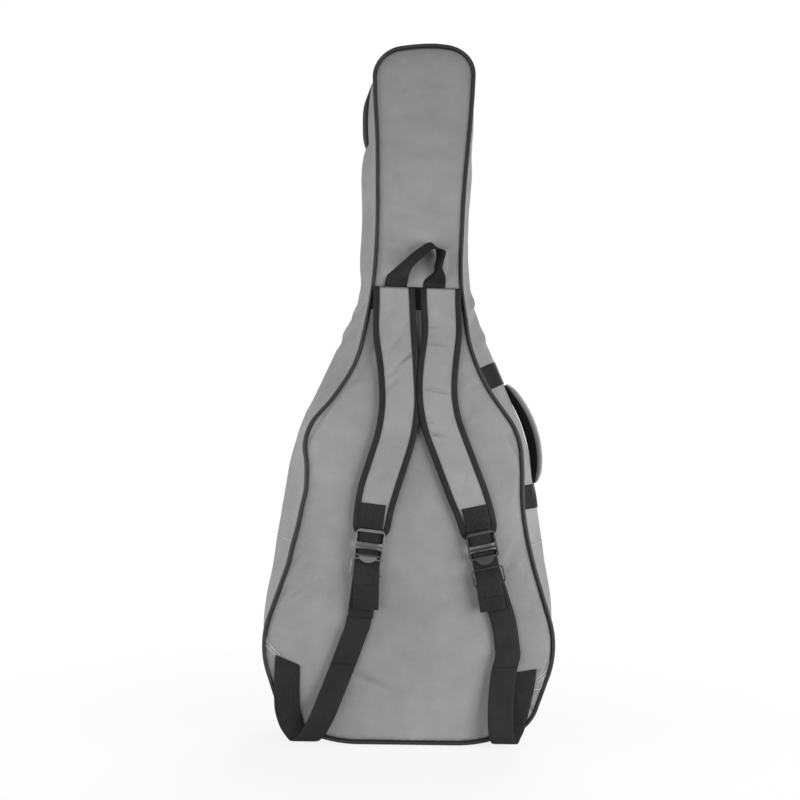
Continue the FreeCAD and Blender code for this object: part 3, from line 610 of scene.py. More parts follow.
def ribFinish(name, level, ribs, slant=0.0, threads=900.0, spreadOut=0.3, strength=0.6, roughness=0.62, depth=0.0004,
              specular=0.08):
    finish, tree, shader = blankFinish(name, roughness, specular=specular)
    flat, solid = node(tree, "ShaderNodeUVMap", uv_map="cloth"), node(tree, "ShaderNodeTexCoord")
    rib = useGroup(tree, "ribs", flat.outputs[0], Ribs=ribs, Slant=slant, Threads=threads)
    clouds = useGroup(tree, "clouds", solid.outputs["Object"], Size=22.0)
    # painted shade: the colour is darker in the rib grooves and lighter on the crests
    ribGroovePaintedShade = maths(tree, "MULTIPLY", maths(tree, "SUBTRACT", rib.outputs["Tone"], 0.5), 0.6)
    tone = maths(tree, "ADD", ribGroovePaintedShade, clouds.outputs[0])
    tonedColour(tree, shader, level, tone, spreadOut)
    bumpFrom(tree, shader, rib.outputs["Height"], strength, depth)
    return finish


def metalFinish(name, level, roughness, metallic=1.0, spreadOut=0.05):
    finish, tree, shader = blankFinish(name, roughness, metallic=metallic)
    solid = node(tree, "ShaderNodeTexCoord")
    clouds = useGroup(tree, "clouds", solid.outputs["Object"], Size=60.0)
    tonedColour(tree, shader, level, clouds.outputs[0], spreadOut)
    worn = maths(tree, "ADD", maths(tree, "MULTIPLY", clouds.outputs[0], 0.1), roughness)
    link(tree, worn, shader.inputs["Roughness"])
    scratch = node(tree, "ShaderNodeTexNoise")
    scratch.inputs["Scale"].default_value = 900.0
    link(tree, solid.outputs["Object"], scratch.inputs["Vector"])
    bumpFrom(tree, shader, scratch.outputs[0], 0.05, 0.0001)
    return finish


finishes = {
    "panel": clothFinish("greyPanelCloth", 153, 1500),
    "gusset": clothFinish("greyGussetCloth", 151, 1500),
    "strap": clothFinish("greyStrapCloth", 154, 1500),
    # the corner tabs are the panel's grey painted darker: painted shade
    "tab": clothFinish("greyTabClothPaintedShade", 142, 1500),
    "lining": clothFinish("darkLining", 62, 900, roughness=0.7, bump=0.3),
    "binding": ribFinish("blackBinding", 42, 480, slant=0.15, threads=1400, spreadOut=0.2, strength=0.35),
    "piping": ribFinish("blackPiping", 34, 420, slant=0.8, threads=200, spreadOut=0.3, strength=0.5, roughness=0.4,
                        specular=0.3),
    "ribbed": ribFinish("ribbedWebbing", 40, 330, threads=700, spreadOut=0.34, strength=0.9),
    "twill": ribFinish("smoothWebbing", 43, 480, slant=1.0, threads=800, spreadOut=0.24, strength=0.6, depth=0.0003),
    "handleBand": ribFinish("handleTwill", 31, 480, slant=1.0, threads=800, spreadOut=0.24, strength=0.6,
                            depth=0.0003),
    "tape": ribFinish("zipperTape", 34, 900, threads=1200, spreadOut=0.15, strength=0.3, depth=0.0002),
    "teeth": metalFinish("blackTeeth", 40, 0.4, metallic=0.0),
    "mesh": ribFinish("handleMesh", 40, 300, slant=1.0, threads=300, spreadOut=0.5, strength=1.0, depth=0.0008),
    # both buckles are one steel: the left copy is painted lighter as a painted highlight, the right copy darker as
    # painted shade
    "paintedLitSteel": metalFinish("steelPaintedHighlight", 104, 0.42),
    "paintedShadedSteel": metalFinish("steelPaintedShade", 64, 0.46),
    "slider": metalFinish("blackSliderAlsoPaintedShade", 42, 0.4, metallic=0.2),
    "seam": clothFinish("paleSeam", 176, 1500),
    "thread": clothFinish("lightThread", 205, 3000, bump=0.2),
    "blackThread": clothFinish("blackThread", 58, 3000, bump=0.2),
}
print("finishes made")

# --- camera, light and floor ---

studio = {
    "turn": -2.1, "rise": -3.2, "roll": 1.35, "distance": 1.6,
    "aim": (-20.2, 0, 518), "tall": 1266,     # what the picture's middle shows, and its height there
    "keyLight": 16.5, "sideLight": 27.0, "frontLight": 62.0, "around": 0.22, "floorShown": 0.17,
}


def addLight(name, place, aim, size, energy):
    lamp = bpy.data.lights.new(name, "AREA")
    lamp.shape, lamp.size, lamp.size_y, lamp.energy = "RECTANGLE", size[0], size[1], energy
    holder = bpy.data.objects.new(name, lamp)
    bpy.context.scene.collection.objects.link(holder)
    holder.location = place
    holder.visible_camera = False
    holder.rotation_euler = (Vector(aim) - Vector(place)).to_track_quat("-Z", "Y").to_euler()


def makeStudio():
    scene = bpy.context.scene
    scene.view_settings.view_transform = "Standard"
    aim = Vector(studio["aim"]) * mm
    a, e = math.radians(studio["turn"]), math.radians(studio["rise"])
    back = Vector((math.sin(a) * math.cos(e), -math.cos(a) * math.cos(e), math.sin(e)))
    lens = bpy.data.cameras.new("camera")
    lens.sensor_width = 36
    lens.lens = 36 * studio["distance"] / (studio["tall"] * mm)
    camera = bpy.data.objects.new("camera", lens)
    scene.collection.objects.link(camera)
    camera.rotation_mode = "QUATERNION"
    camera.location = aim + back * studio["distance"]
    turn = (-back).to_track_quat("-Z", "Y").to_matrix() @ Matrix.Rotation(math.radians(studio["roll"]), 3, "Z")
    camera.rotation_quaternion = turn.to_quaternion()
    scene.camera = camera
    addLight("key", (1.15, -1.0, 0.34), (0, 0, 0.34), (0.9, 0.9), studio["keyLight"])
    addLight("fill", (-0.8, -1.15, 0.34), (0, 0, 0.34), (1.0, 0.9), studio["keyLight"] * 0.36)
    addLight("leftSide", (-2.1, -0.4, 0.6), (0, 0, 0.4), (1.2, 1.4), studio["sideLight"])
    addLight("rightSide", (2.1, -0.3, 0.6), (0, 0, 0.4), (1.2, 1.4), studio["sideLight"] * 0.5)
    addLight("front", (0.9, 2.5, 1.3), (0, 0, 0.4), (1.8, 1.8), studio["frontLight"])
    world = bpy.data.worlds.new("around")
    scene.world = world
    world.use_nodes = True
    tree = world.node_tree
    tree.nodes.clear()
    path = node(tree, "ShaderNodeLightPath")
    seen = maths(tree, "MAXIMUM", path.outputs["Is Camera Ray"], path.outputs["Is Glossy Ray"])
    seen = maths(tree, "MAXIMUM", seen, path.outputs["Is Transmission Ray"])
    light = maths(tree, "ADD", maths(tree, "MULTIPLY", seen, 1 - studio["around"]), studio["around"])
    sky, out = node(tree, "ShaderNodeBackground"), node(tree, "ShaderNodeOutputWorld")
    sky.inputs[0].default_value = (1, 1, 1, 1)
    link(tree, light, sky.inputs[1])
    link(tree, sky.outputs[0], out.inputs[0])

    bpy.ops.mesh.primitive_circle_add(vertices=96, radius=2.2, fill_type="NGON", location=(0, 0, -0.0004))
    floor = bpy.context.object
    floor.name = "floor"
    finish, tree, shader = blankFinish("paleFloor", 0.9, specular=0.0)
    solid, ramp = node(tree, "ShaderNodeTexCoord"), node(tree, "ShaderNodeMapRange")
    size = node(tree, "ShaderNodeVectorMath", operation="LENGTH")
    link(tree, solid.outputs["Object"], size.inputs[0])
    link(tree, size.outputs["Value"], ramp.inputs["Value"])
    ramp.inputs["From Min"].default_value, ramp.inputs["From Max"].default_value = 0.26, 0.85
    ramp.inputs["To Min"].default_value, ramp.inputs["To Max"].default_value = studio["floorShown"], 0.0
    shader.inputs["Base Color"].default_value = (0.94, 0.94, 0.94, 1)
    link(tree, ramp.outputs[0], shader.inputs["Alpha"])
    floor.data.materials.append(finish)


makeStudio()
print("studio made")


# --- panels ---

def panelGrid(corners, inset, columns, rows):
    # an even grid over a four-cornered outline with a top, a base and two sides
    counts = stepsFor(corners, 2.0)
    ring = ringPoints(corners, inset, counts)
    starts = [0]
    for arcCount, runCount in counts:
        starts.append(starts[-1] + arcCount + runCount)
    middle = [starts[i] + counts[i][0] // 2 for i in range(len(corners))]
    half = len(corners) // 2
    wide = len(corners) == 4
    topRight, lowRight = (middle[0], middle[1]) if wide else (middle[1], middle[half - 1])
    right = evenly(ring[topRight:lowRight + 1], count=rows)[::-1]
    lowLeft = middle[2] if wide else middle[half + 2]
    topLeft = middle[3] if wide else middle[-1]
    base = evenly(ring[lowRight:lowLeft + 1], count=columns)[::-1]
    top = evenly(ring[topLeft:] + ring[:topRight + 1], count=columns)
    left = evenly(ring[lowLeft:topLeft + 1], count=rows)
    result = []
    for j in range(rows):
        v, row = j / (rows - 1), []
        for i in range(columns):
            u = i / (columns - 1)
            p = base[i] * (1 - v) + top[i] * v + left[j] * (1 - u) + right[j] * u
            p -= (base[0] * (1 - u) + base[-1] * u) * (1 - v) + (top[0] * (1 - u) + top[-1] * u) * v
            row.append(p)
        result.append(row)
    return result, ring


def edgeTree(ring):
    tree = KDTree(len(ring))
    for i, (x, z) in enumerate(ring):
        tree.insert((x, 0, z), i)
    tree.balance()
    return tree


def crease(x, z, marks, factor=1.0):
    # sum of short dents and ridges: place, turn, half length, half width, depth
    rise = 0.0
    for mx, mz, turn, length, width, depth in marks:
        dx, dz = x - mx, z - mz
        if abs(dx) > 3 * length + 3 * width or abs(dz) > 3 * length + 3 * width:
            continue
        t = math.radians(turn)
        p, q = dx * math.cos(t) + dz * math.sin(t), dz * math.cos(t) - dx * math.sin(t)
        u = (q / width) ** 2
        rise -= factor * depth * (1 - 0.6 * u) * math.exp(-0.6 * u - (p / length) ** 2)
    return rise


def settle(rows, outward, pressure, growth, cap, frames=20):
    # lets a sheet of cloth with held edges swell and crease, and gives its moved rows back
    wide = len(rows[0])
    mesh = bpy.data.meshes.new("settling")
    mesh.from_pydata([tuple(p * mm) for row in rows for p in row], [],
                     [(i * wide + j, i * wide + j + 1, (i + 1) * wide + j + 1, (i + 1) * wide + j)
                      for i in range(len(rows) - 1) for j in range(wide - 1)])
    sheet = bpy.data.objects.new("settling", mesh)
    scene = bpy.context.scene
    scene.collection.objects.link(sheet)
    pins = sheet.vertex_groups.new(name="seam")
    edge = [i * wide + j for i in range(len(rows)) for j in range(wide)
            if i in (0, len(rows) - 1) or j in (0, wide - 1)]
    pins.add(edge, 1.0, "REPLACE")
    cloth = sheet.modifiers.new("settling", "CLOTH")
    values = cloth.settings
    values.quality, values.mass, values.air_damping = 6, 0.25, 2.0
    values.tension_stiffness = values.compression_stiffness = 12.0
    values.shear_stiffness, values.bending_stiffness = 6.0, 1.2
    values.vertex_group_mass = "seam"
    values.use_pressure, values.uniform_pressure_force = True, pressure
    values.shrink_min = -growth
    values.effector_weights.gravity = 0.0
    cloth.collision_settings.use_collision = False
    cloth.point_cache.frame_start, cloth.point_cache.frame_end = 1, frames
    for k in range(1, frames + 1):
        scene.frame_set(k)
    done = sheet.evaluated_get(bpy.context.evaluated_depsgraph_get()).data
    moved, k = [], 0
    for row in rows:
        line = []
        for p in row:
            step = done.vertices[k].co / mm - p
            step.y *= 0.5 if step.y * outward < 0 else 1.0     # a padded panel hardly sinks
            if step.length > cap:
                step *= cap / step.length
            line.append(p + step)
            k += 1
        moved.append(line)
    bpy.data.objects.remove(sheet)
    scene.frame_set(1)
    return moved


strapTop = 690     # the straps' top seam, with the hang loop's roots above it
backPanel = {
    "columns": 104, "rows": 256, "pressure": 0.6, "growth": 0.02, "cap": 2.4,
    "valley": 2.0, "rise": 1.4, "reach": 8.0,     # how deep the seam lies and how far the panel swells past it
    "marks": [(172, 452, -35, 12, 7, 2.2), (176, 430, 60, 12, 6, 1.6), (-193, 262, 40, 34, 7, 1.3),
              (-172, 236, 34, 40, 8, 1.1), (-150, 210, 18, 40, 9, 1.0), (-182, 166, 24, 40, 8, 1.2),
              (-60, 92, -18, 34, 9, 1.3), (178, 150, 10, 20, 6, 1.2), (-196, 210, 70, 26, 6, 1.0),
              (60, 620, 65, 60, 14, 0.8), (-88, 560, 60, 46, 9, 1.0), (-138, 480, 62, 28, 5, 1.0),
              (110, 520, -60, 50, 12, 1.0),
              (-186, 282, 52, 30, 3.5, 0.9), (-176, 268, 44, 36, 4, 0.9), (-168, 250, 40, 34, 3.5, 0.8),
              (-160, 226, 30, 30, 4, 0.8), (-150, 292, 58, 26, 4, 0.7), (-140, 262, 64, 22, 3.5, 0.6),
              (-184, 205, 48, 34, 4, 0.9), (-60, 96, -24, 30, 5, 0.9),
              (-147, 462, 62, 22, 3.8, 0.9), (-118, 472, 78, 40, 6, 0.5), (-128, 500, 64, 20, 4, 0.5),
              (150, 466, 20, 20, 5, 0.9), (146, 448, -66, 18, 4, 0.8), (154, 436, -60, 16, 4, 0.8)],
}


def backLimit(p):
    # the face stays in front of the straps and of the hang loop's roots
    furthest = -66.85 if p.z < strapTop else -66.3 - 2.7 * fadeIn(p.z, strapTop, 24)
    return Vector((p.x, max(p.y, furthest), p.z))


def calmHead(z):
    # the head is smoother
    return 1 - 0.6 * fadeIn(z, 740, 60)


def backRelief(x, z, edge):
    near = 1 - math.exp(-edge / backPanel["reach"])
    rise = -backPanel["valley"] + (backPanel["valley"] + backPanel["rise"]) * near
    near *= calmHead(z)
    wave = 0.9 * waves(x * 0.011, 3, z * 0.009)
    rise += near * (wave + 0.35 * waves(x * 0.035, 9, z * 0.02))
    rise += near * crease(x, z, backPanel["marks"], 2.6)
    return rise


def panelPiece(name, share, corners, relief, values, outward, body, stands):
    # padded panel: a swelling cloth face, a rim and a lining face
    columns, rows = values["columns"], values["rows"]
    face, ring = panelGrid(corners, seamTuck, columns, rows)
    tree = edgeTree(ring)
    inner, _ = panelGrid(corners, seamTuck + 10.2, columns, rows)
    toSeam = lambda p: tree.find((p.x, 0, p.y))[2]
    front, behind = [], []
    for row, innerRow in zip(face, inner):
        front.append([leaning(p.x, outward * (bag["cloth"] + relief(p.x, p.y, toSeam(p))), p.y, share)
                      for p in row])
        behind.append([leaning(p.x, outward * (-bag["foam"] - 0.8), p.y, share) for p in innerRow])
    if values.get("pressure"):
        swollen = settle(front, outward, values["pressure"], values["growth"], values["cap"])
        for i, row in enumerate(face):
            for j, p in enumerate(row):
                kept = (1 - math.exp(-toSeam(p) / 7) if p.y > 60 else 1.0) * calmHead(p.y)
                front[i][j] = backLimit(front[i][j].lerp(swollen[i][j], kept))
    shell = Shell()
    flat = lambda i, j: (face[i][j].x, face[i][j].y)
    a = shell.grid(front, flat, 0)
    b = shell.grid(behind, flat, 1)
    shell.rim(a, b, columns, rows, 1)
    piece = shell.make(name, [finishes["panel"], finishes["lining"]], body, stands)
    return piece, tree


_, backEdge = panelPiece("backPanel", 0.0, backCorners, backRelief, backPanel, -1, "bag",
                         ["back_panel_cover", "back_panel_foam", "back_panel_lining"])
print("back panel made")


def backSurface(x, z):
    # how far back the panel's face lies at a place, as y
    return seamBack - bag["cloth"] - backRelief(x, z, backEdge.find((x, 0, z))[2])


def pipingPiece(name, corners, share, offset, body, stands):
    # a round cord over the seam, and its tape caught in the seam
    ring = ringPoints(corners, 0.0, stepsFor(corners, 3.0))
    radius, sides, inner = bag["piping"], 12, math.copysign(1, -offset)
    tapeProfile = ((1.0, 0.1), (1.0, 1.3), (7.0, 1.9), (7.0, 1.3), (2.9, 0.45))
    cord, tape = [], []
    for x, z, alongX, alongZ in sidesOf(ring):
        row = []
        for k in range(sides):
            out, up = (radius * wave(math.tau * k / sides) for wave in (math.cos, math.sin))
            row.append(leaning(x - alongZ * out, offset + up, z + alongX * out, share))
        cord.append(row)
        tape.append([leaning(x + alongZ * inwards, inner * deep, z - alongX * inwards, share)
                     for inwards, deep in tapeProfile])
    far = lengthsOf([Vector(p) for p in ring + ring[:1]])
    shell = Shell()
    shell.grid(cord + cord[:1], lambda i, j: (math.tau * radius * j / sides, far[i]), closed=True)
    shell.grid(tape + tape[:1], lambda i, j: (far[i], j * 4.0), closed=True)
    return shell.make(name, [finishes["piping"]], body, stands, weld=0.01)


pipingPiece("backPiping", backCorners, 0.0, -bag["cloth"] - 0.1, "bag", ["back_piping"])
frontCord = pipingPiece("frontPiping", frontCorners, 1.0, bag["cloth"] + 0.1, None,
                        ["front_lower_piping", "lid_piping"])
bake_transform(frontCord)

frontPanel = {
    "columns": 66, "rows": 176, "valley": 2.2, "rise": 2.4, "reach": 13.0,
    "marks": [(-60, 620, 55, 60, 12, 1.2), (70, 520, -50, 60, 14, 1.3), (0, 800, 10, 50, 20, 0.9),
              (-120, 420, 40, 50, 12, 1.2), (140, 330, -30, 50, 12, 1.2), (0, 302, 0, 150, 5, 1.1)],
}


def frontRelief(x, z, edge):
    near = 1 - math.exp(-edge / frontPanel["reach"])
    under = max(0.0, 1 - max(abs(x) / 165, abs(z - 158) / 135) ** 8)     # flat under the pocket
    rise = -frontPanel["valley"] + (frontPanel["valley"] + frontPanel["rise"] * (1 - under)) * near
    wave = 1.0 * waves(x * 0.011, 31, z * 0.009) + 0.4 * waves(x * 0.03, 39, z * 0.02)
    return rise + near * (1 - under) * (wave + crease(x, z, frontPanel["marks"])) - 0.3 * under


frontPiece, _ = panelPiece("frontPanel", 1.0, frontCorners, frontRelief, frontPanel, 1, None,
                           ["front_lower_cover", "front_lower_foam", "front_lower_lining",
                            "lid_cover", "lid_foam", "lid_lining"])
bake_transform(frontPiece)
print("front panel and piping made")


# --- gusset and main zipper ---

def gussetPiece(name, first, last, count, keepAbove, body, stands):
    shares = spread(first, last, count)
    inner = spread(max(first, 0.1), min(last, 0.9), count)
    rows = [ringAt(s) for s in shares] + [ringAt(s, -10.0, False) for s in reversed(inner)]
    middle = ringAt(0.5, 0.0, False)
    far = lengthsOf(middle + middle[:1])
    deep = [s * seamSpan for s in shares] + [s * seamSpan for s in reversed(shares)] + [shares[0] * seamSpan]
    rows.append(rows[0])
    shell = Shell()
    shell.grid(rows, lambda i, j: (far[j], deep[i]), closed=True)
    ring = len(middle)
    for f in range(len(shell.faces)):
        shell.slots[f] = 0 if f // ring < count else 1
    piece = shell.make(name, [finishes["gusset"], finishes["lining"]], body, stands, weld=0.001)
    cutAt(piece, bag["fold"] + (0.03 if keepAbove else -0.03), keepAbove)
    return piece


tapeShare = bag["tape"] / seamSpan
gussetPiece("bottomGusset", 0.0, 1.0, 41, False, "bag",
            ["bottom_gusset_cover", "bottom_gusset_foam", "bottom_gusset_lining"])
gussetPiece("backStrip", 0.0, bag["zipper"] - tapeShare, 33, True, "bag",
            ["back_strip_cover", "back_strip_foam", "back_strip_lining"])
gussetPiece("frontStrip", bag["zipper"] + tapeShare, 1.0, 12, True, "lid",
            ["front_strip_cover", "front_strip_foam", "front_strip_lining"])


def seamStation(hand, share):
    # a place on the fold's seam, which rises from the back panel to the zipper
    ring = ringAt(share, 0.15)
    height = bag["fold"] - 4 + 16 * share
    p = min((q for q in ring if q.x * hand > 0), key=lambda q: abs(q.z - height))
    return Vector((p.x, p.y, height)), Vector((0, 0, 1))


for hand, side in ((-1, "left"), (1, "right")):
    webbing(side + "FoldSeam", [seamStation(hand, s) for s in spread(0.04, bag["zipper"] - tapeShare, 40)], 1.7, 0.7,
            [finishes["seam"]], "bag")
print("gusset made")


def zipperHalf(name, first, last, hand, body, stands):
    # woven tape and one row of teeth beside the opening
    ring = ringAt(0.5, 0.0, False)
    shell = Shell()
    shares = spread(first, last, 5)
    rows = [ringAt(s, -0.2) for s in shares] + [ringAt(s, -1.2) for s in reversed(shares)]
    rows.append(rows[0])
    far = lengthsOf(ring + ring[:1])
    deep = [s * seamSpan for s in shares] + [s * seamSpan for s in reversed(shares)] + [0]
    shell.grid(rows, lambda i, j: (deep[i], far[j]), closed=True)
    tape = shell.make(name + "Tape", [finishes["tape"]], body, [stands[0]], weld=0.001)
    cutAt(tape, bag["fold"] + 0.2, True)
    teeth = Shell()
    edge = last if hand > 0 else first
    inside, outside = edge - hand * 2.4 / seamSpan, edge + hand * 0.5 / seamSpan
    pitch, place = 2.6, (0.0 if hand > 0 else 1.3)
    while place < far[-1] - 2:
        before = next(i for i in range(len(far) - 1) if far[i + 1] >= place)
        run = max(far[before + 1] - far[before], 1e-6)
        spot, width = before + (place - far[before]) / run, 0.8 / run
        if onGusset(spot, edge, 0).z > bag["fold"] + 3:
            corners = []
            for lift in (-0.2, 1.0):
                pinch = 0.7 if lift > 0 else 1.0
                for s, w in ((inside, -width), (outside, -width * pinch), (outside, width * pinch), (inside, width)):
                    corners.append(onGusset(spot + w, s, lift))
            b = len(teeth.points)
            teeth.points += corners
            for face in ((0, 1, 2, 3), (7, 6, 5, 4), (0, 4, 5, 1), (1, 5, 6, 2), (2, 6, 7, 3), (3, 7, 4, 0)):
                teeth.face([b + k for k in face])
        place += pitch
    teethPiece = teeth.make(name + "Teeth", [finishes["teeth"]], body, [stands[1]])
    for polygon in teethPiece.data.polygons:
        polygon.use_smooth = False


halfGap = 0.65 / seamSpan
zipperHalf("zipperBack", bag["zipper"] - tapeShare, bag["zipper"] - halfGap, 1, "bag",
           ["zipper_tape_back", "zipper_coil_back"])
zipperHalf("zipperFront", bag["zipper"] + halfGap, bag["zipper"] + tapeShare, -1, "lid",
           ["zipper_tape_front", "zipper_coil_front"])
print("zipper made")

# --- shoulder straps ---

strap = {
    "swell": {"left": (-2.6, 2.0), "right": (4.6, -0.6)},     # sideways shift and widening below the top
    "top": 686, "width": 61.6, "middle": -72.8, "half": 5.2, "edgeHalf": 2.6,
    "endRound": 15, "endTaper": 3.6,
    # the binding round the edge: way in from the edge, lift off the pad, front or back
    "bindingProfile": ((9.0, 0.15, 1), (9.0, 0.9, 1), (6.5, 1.05, 1), (3.5, 1.05, 1), (1.4, 0.9, 1), (0.2, 0.1, 1),
                       (-0.4, -1.2, 1), (-0.4, -1.2, -1), (0.2, 0.1, -1), (1.4, 0.5, -1), (4.0, 0.6, -1),
                       (9.0, 0.5, -1), (9.0, 0.1, -1)),
    "left": [(-36, 686, 1), (-20, 485, 260), (-57, 362, 300), (-62.5, 308, 1)],
    "right": [(35, 686, 1), (31.5, 500, 210), (95, 343, 220), (103, 308, 1)],
    "marks": {
        "left": [(-16, 628, 52, 24, 4, 0.7), (-30, 603, 48, 26, 4.5, 0.7), (-20, 574, 42, 20, 3, 1.2),
                 (-34, 556, 36, 24, 4, 0.8), (-8, 582, 30, 12, 3, 0.9), (-40, 535, 45, 26, 5, 0.8),
                 (-30, 441, 4, 22, 3, 0.7), (-16, 455, 0, 14, 3, 0.6), (-44, 640, 60, 26, 6, 0.5),
                 (-48, 400, 70, 34, 7, 0.5)],
        "right": [(22, 627, -4, 8, 2.4, 1.0), (26, 601, -8, 16, 2.6, 1.3), (30, 530, -10, 22, 2.6, 1.6),
                  (16, 489, -6, 6, 2.2, 1.1), (22, 482, -6, 6, 2.2, 0.9), (30, 463, -6, 13, 2.2, 2.2),
                  (56, 642, -45, 14, 4, 0.9), (50, 560, 70, 34, 7, 0.5), (52, 480, 62, 22, 4, 0.5),
                  (76, 396, 80, 16, 3, 0.35)],
    },
}


def strapStations(side):
    # centre, direction, way from the top, way to the end and half width down the strap
    line = pathPoints(strap[side], 1.7)
    lengths = lengthsOf(line)
    shift, widening = strap["swell"][side]
    stations = []
    for i, (p, far) in enumerate(zip(line, lengths)):
        a, b = line[max(i - 1, 0)], line[min(i + 1, len(line) - 1)]
        left = lengths[-1] - far
        bulge = math.exp(-((far - 68) / 40) ** 2)
        half = strap["width"] / 2 - strap["endTaper"] * max(0.0, 1 - left / 70) + widening * bulge
        if left < strap["endRound"]:
            half -= strap["endRound"] - math.sqrt(max(0.0, strap["endRound"] ** 2 - (strap["endRound"] - left) ** 2))
        stations.append((p + Vector((shift * bulge, 0)), (b - a).normalized(), far, left, half))
    return stations


def strapPoint(p, along, far, w):
    # a place across the strap, whose top end is cut level
    across = Vector((-along.y, along.x))
    across = across if across.x > 0 else -across
    q = p + across * w
    q.y = p.y + (q.y - p.y) * min(1.0, far / 20)
    return q


def strapOutline(side):
    # the edge from the top of its left side, round the end, to the top of its right side
    stations = strapStations(side)
    left = [strapPoint(s[0], s[1], s[2], -s[4]) for s in stations]
    right = [strapPoint(s[0], s[1], s[2], s[4]) for s in stations]
    if left[0].x > right[0].x:
        left, right = right, left
    return evenly(left + right[::-1], step=2.4)


strapEdges = {side: strapOutline(side) for side in ("left", "right")}
rightInner = sorted((p.y, p.x) for p in strapEdges["right"][:len(strapEdges["right"]) // 2])


def leftLimit(z):
    # where the right strap's inner edge lies at this height
    for (az, ax), (bz, bx) in zip(rightInner, rightInner[1:]):
        if az <= z <= bz:
            return ax + (bx - ax) * (z - az) / max(bz - az, 1e-6) - 0.5
    return 1e6 if z < rightInner[0][0] else rightInner[-1][1]


strapTrees = {side: edgeTree([(p.x, p.y) for p in strapEdges[side]]) for side in strapEdges}


def strapHalf(side, x, z):
    # half thickness of the pad at a place
    edge = strapTrees[side].find((x, 0, z))[2]
    if z > strap["top"] - 60:     # the top edge is sewn down, not bound
        edge = min(edge, 31.5)
    if side == "left":
        edge = min(edge, max(0.0, leftLimit(z) - x))
    u = max(0.0, 1 - edge / (strap["width"] / 2))
    return strap["edgeHalf"] + (strap["half"] - strap["edgeHalf"]) * math.sqrt(max(0.0, 1 - u ** 3.2))


def strapFront(side, x, z, toEnd, lift=0.0):
    half = strapHalf(side, x, z)
    fade = smooth(fadeIn(toEnd, 12, 18))     # thinner under the buckle
    front = 1.2 + (half - 1.2) * fade
    front += 2.6 * crease(x, z, strap["marks"][side]) * min(1.0, strapTrees[side].find((x, 0, z))[2] / 14)
    front += 0.35 * waves(x * 0.03, 5, z * 0.02) * fade
    y = strap["middle"] - front - lift
    # the sewn top end slopes back to its seam
    top = strap["top"] - z
    if top < 3:
        y = max(y, -71.6 - lift - top * 2.2)
    return y


def strapBack(side, x, z, lift=0.0):
    return min(strap["middle"] + strapHalf(side, x, z) + lift, -67.0)


def toEndOf(side, x, z):
    before, end = strap[side][-2:]
    dx, dz, _ = runsOf([before, end], closed=False)[0]
    return max(0.0, (end[0] - x) * dx + (end[1] - z) * dz)


def strapPiece(side):
    shell = Shell()
    stations = strapStations(side)
    stations[-1] = (stations[-1][0], stations[-1][1], stations[-1][2], 0.0,
                    strap["width"] / 2 - strap["endTaper"] - strap["endRound"] + 0.5)
    columns, rows, flats = 33, [], []
    for p, along, far, left, half in stations:
        low, high = -(half - 0.9), half - 0.9
        while side == "left" and high > low + 2:
            q = strapPoint(p, along, far, high)
            if q.x <= leftLimit(q.y) - 0.2:
                break
            high -= 0.5
        row, flat = [], []
        for w in spread(low, high, columns):
            q = strapPoint(p, along, far, w)
            row.append(Vector((q.x, strapFront(side, q.x, q.y, left), q.y)))
            flat.append((w, far))
        for w in spread(high, low, columns):
            q = strapPoint(p, along, far, w)
            row.append(Vector((q.x, strapBack(side, q.x, q.y), q.y)))
            flat.append((w, far))
        rows.append(row)
        flats.append(flat + flat[:1])
    start = shell.grid(rows, lambda i, j: flats[i][j], closed=True)
    shell.ends(start, len(rows), 2 * columns)
    pad = shell.make(side + "StrapPad", [finishes["strap"]], side + "_strap",
                     [side + "_strap_cover", side + "_strap_foam"])

    # binding folded over the edge
    edge = strapEdges[side]
    far = lengthsOf(edge)
    shell, rows = Shell(), []
    for i, p in enumerate(edge):
        a, b = edge[max(i - 2, 0)], edge[min(i + 2, len(edge) - 1)]
        along = (b - a).normalized()
        row = []
        for reach, lift, hand in strap["bindingProfile"]:
            q = p + Vector((-along.y, along.x)) * reach
            if side == "left":
                q.x = min(q.x, leftLimit(q.y))
            if hand > 0:
                y = strapFront(side, q.x, q.y, toEndOf(side, q.x, q.y), lift)
            else:
                y = strapBack(side, q.x, q.y, lift)
            row.append(Vector((q.x, y, q.y)))
        rows.append(row)
    start = shell.grid(rows, lambda i, j: (j * 2.0, far[i]), closed=True)
    shell.ends(start, len(rows), len(rows[0]))
    shell.make(side + "StrapBinding", [finishes["binding"]], side + "_strap", [side + "_strap_binding"])


for side in ("left", "right"):
    strapPiece(side)
print("straps made")

# --- buckles and webbing ---

buckle = {
    "rise": 9.0, "forward": 4.0, "webbing": 38.0, "patch": 38.0, "patchShift": {"left": -1.8, "right": 0.0},
    "hangFrom": 50.0, "hang": {"left": 1.0, "right": 0.3}, "loadHang": {"left": 0.0, "right": -0.5},
    "keeperDrop": {"left": 41.0, "right": 52.0}, "tailEnd": {"left": 80.0, "right": 96.0},
    "hemEnd": 117.0, "loadEnd": 117.0, "splitHeight": 118,
    "lowEdge": {"left": (0.93, 0, -0.37), "right": (0.985, 0, 0.17)},   # slant of the webbing's sewn end
}


# the ladder lock, measured from its top rim: cuts across it, the rails' inner faces, lift tab and middle bar
ladder = {"cuts": (-34.8, -38.1, -29.0), "inside": 19.8, "tab": -37.4, "bar": -23}


def atBuckle(side):
    # turns a point drawn from the buckle's top rim into the bag's frame
    bx, bz, _ = strap[side][-1]
    dx, dz, _ = runsOf(strap[side][-2:], closed=False)[0]
    turn = Matrix.Rotation(-math.asin(dx), 3, "Y")
    rim = Vector((bx - dx * buckle["rise"], strap["middle"] - buckle["forward"], bz - dz * buckle["rise"]))
    return lambda p: turn @ Vector(p) + rim, turn


def hangAt(side, p, kind="hang"):
    # below the keeper the webbing leaves the buckle's own direction
    place, turn = atBuckle(side)
    down = turn @ Vector((0, 0, -1))
    q = place(p)
    q.x -= max(0.0, -buckle["hangFrom"] - p[2]) * down.x * buckle[kind][side]
    return q


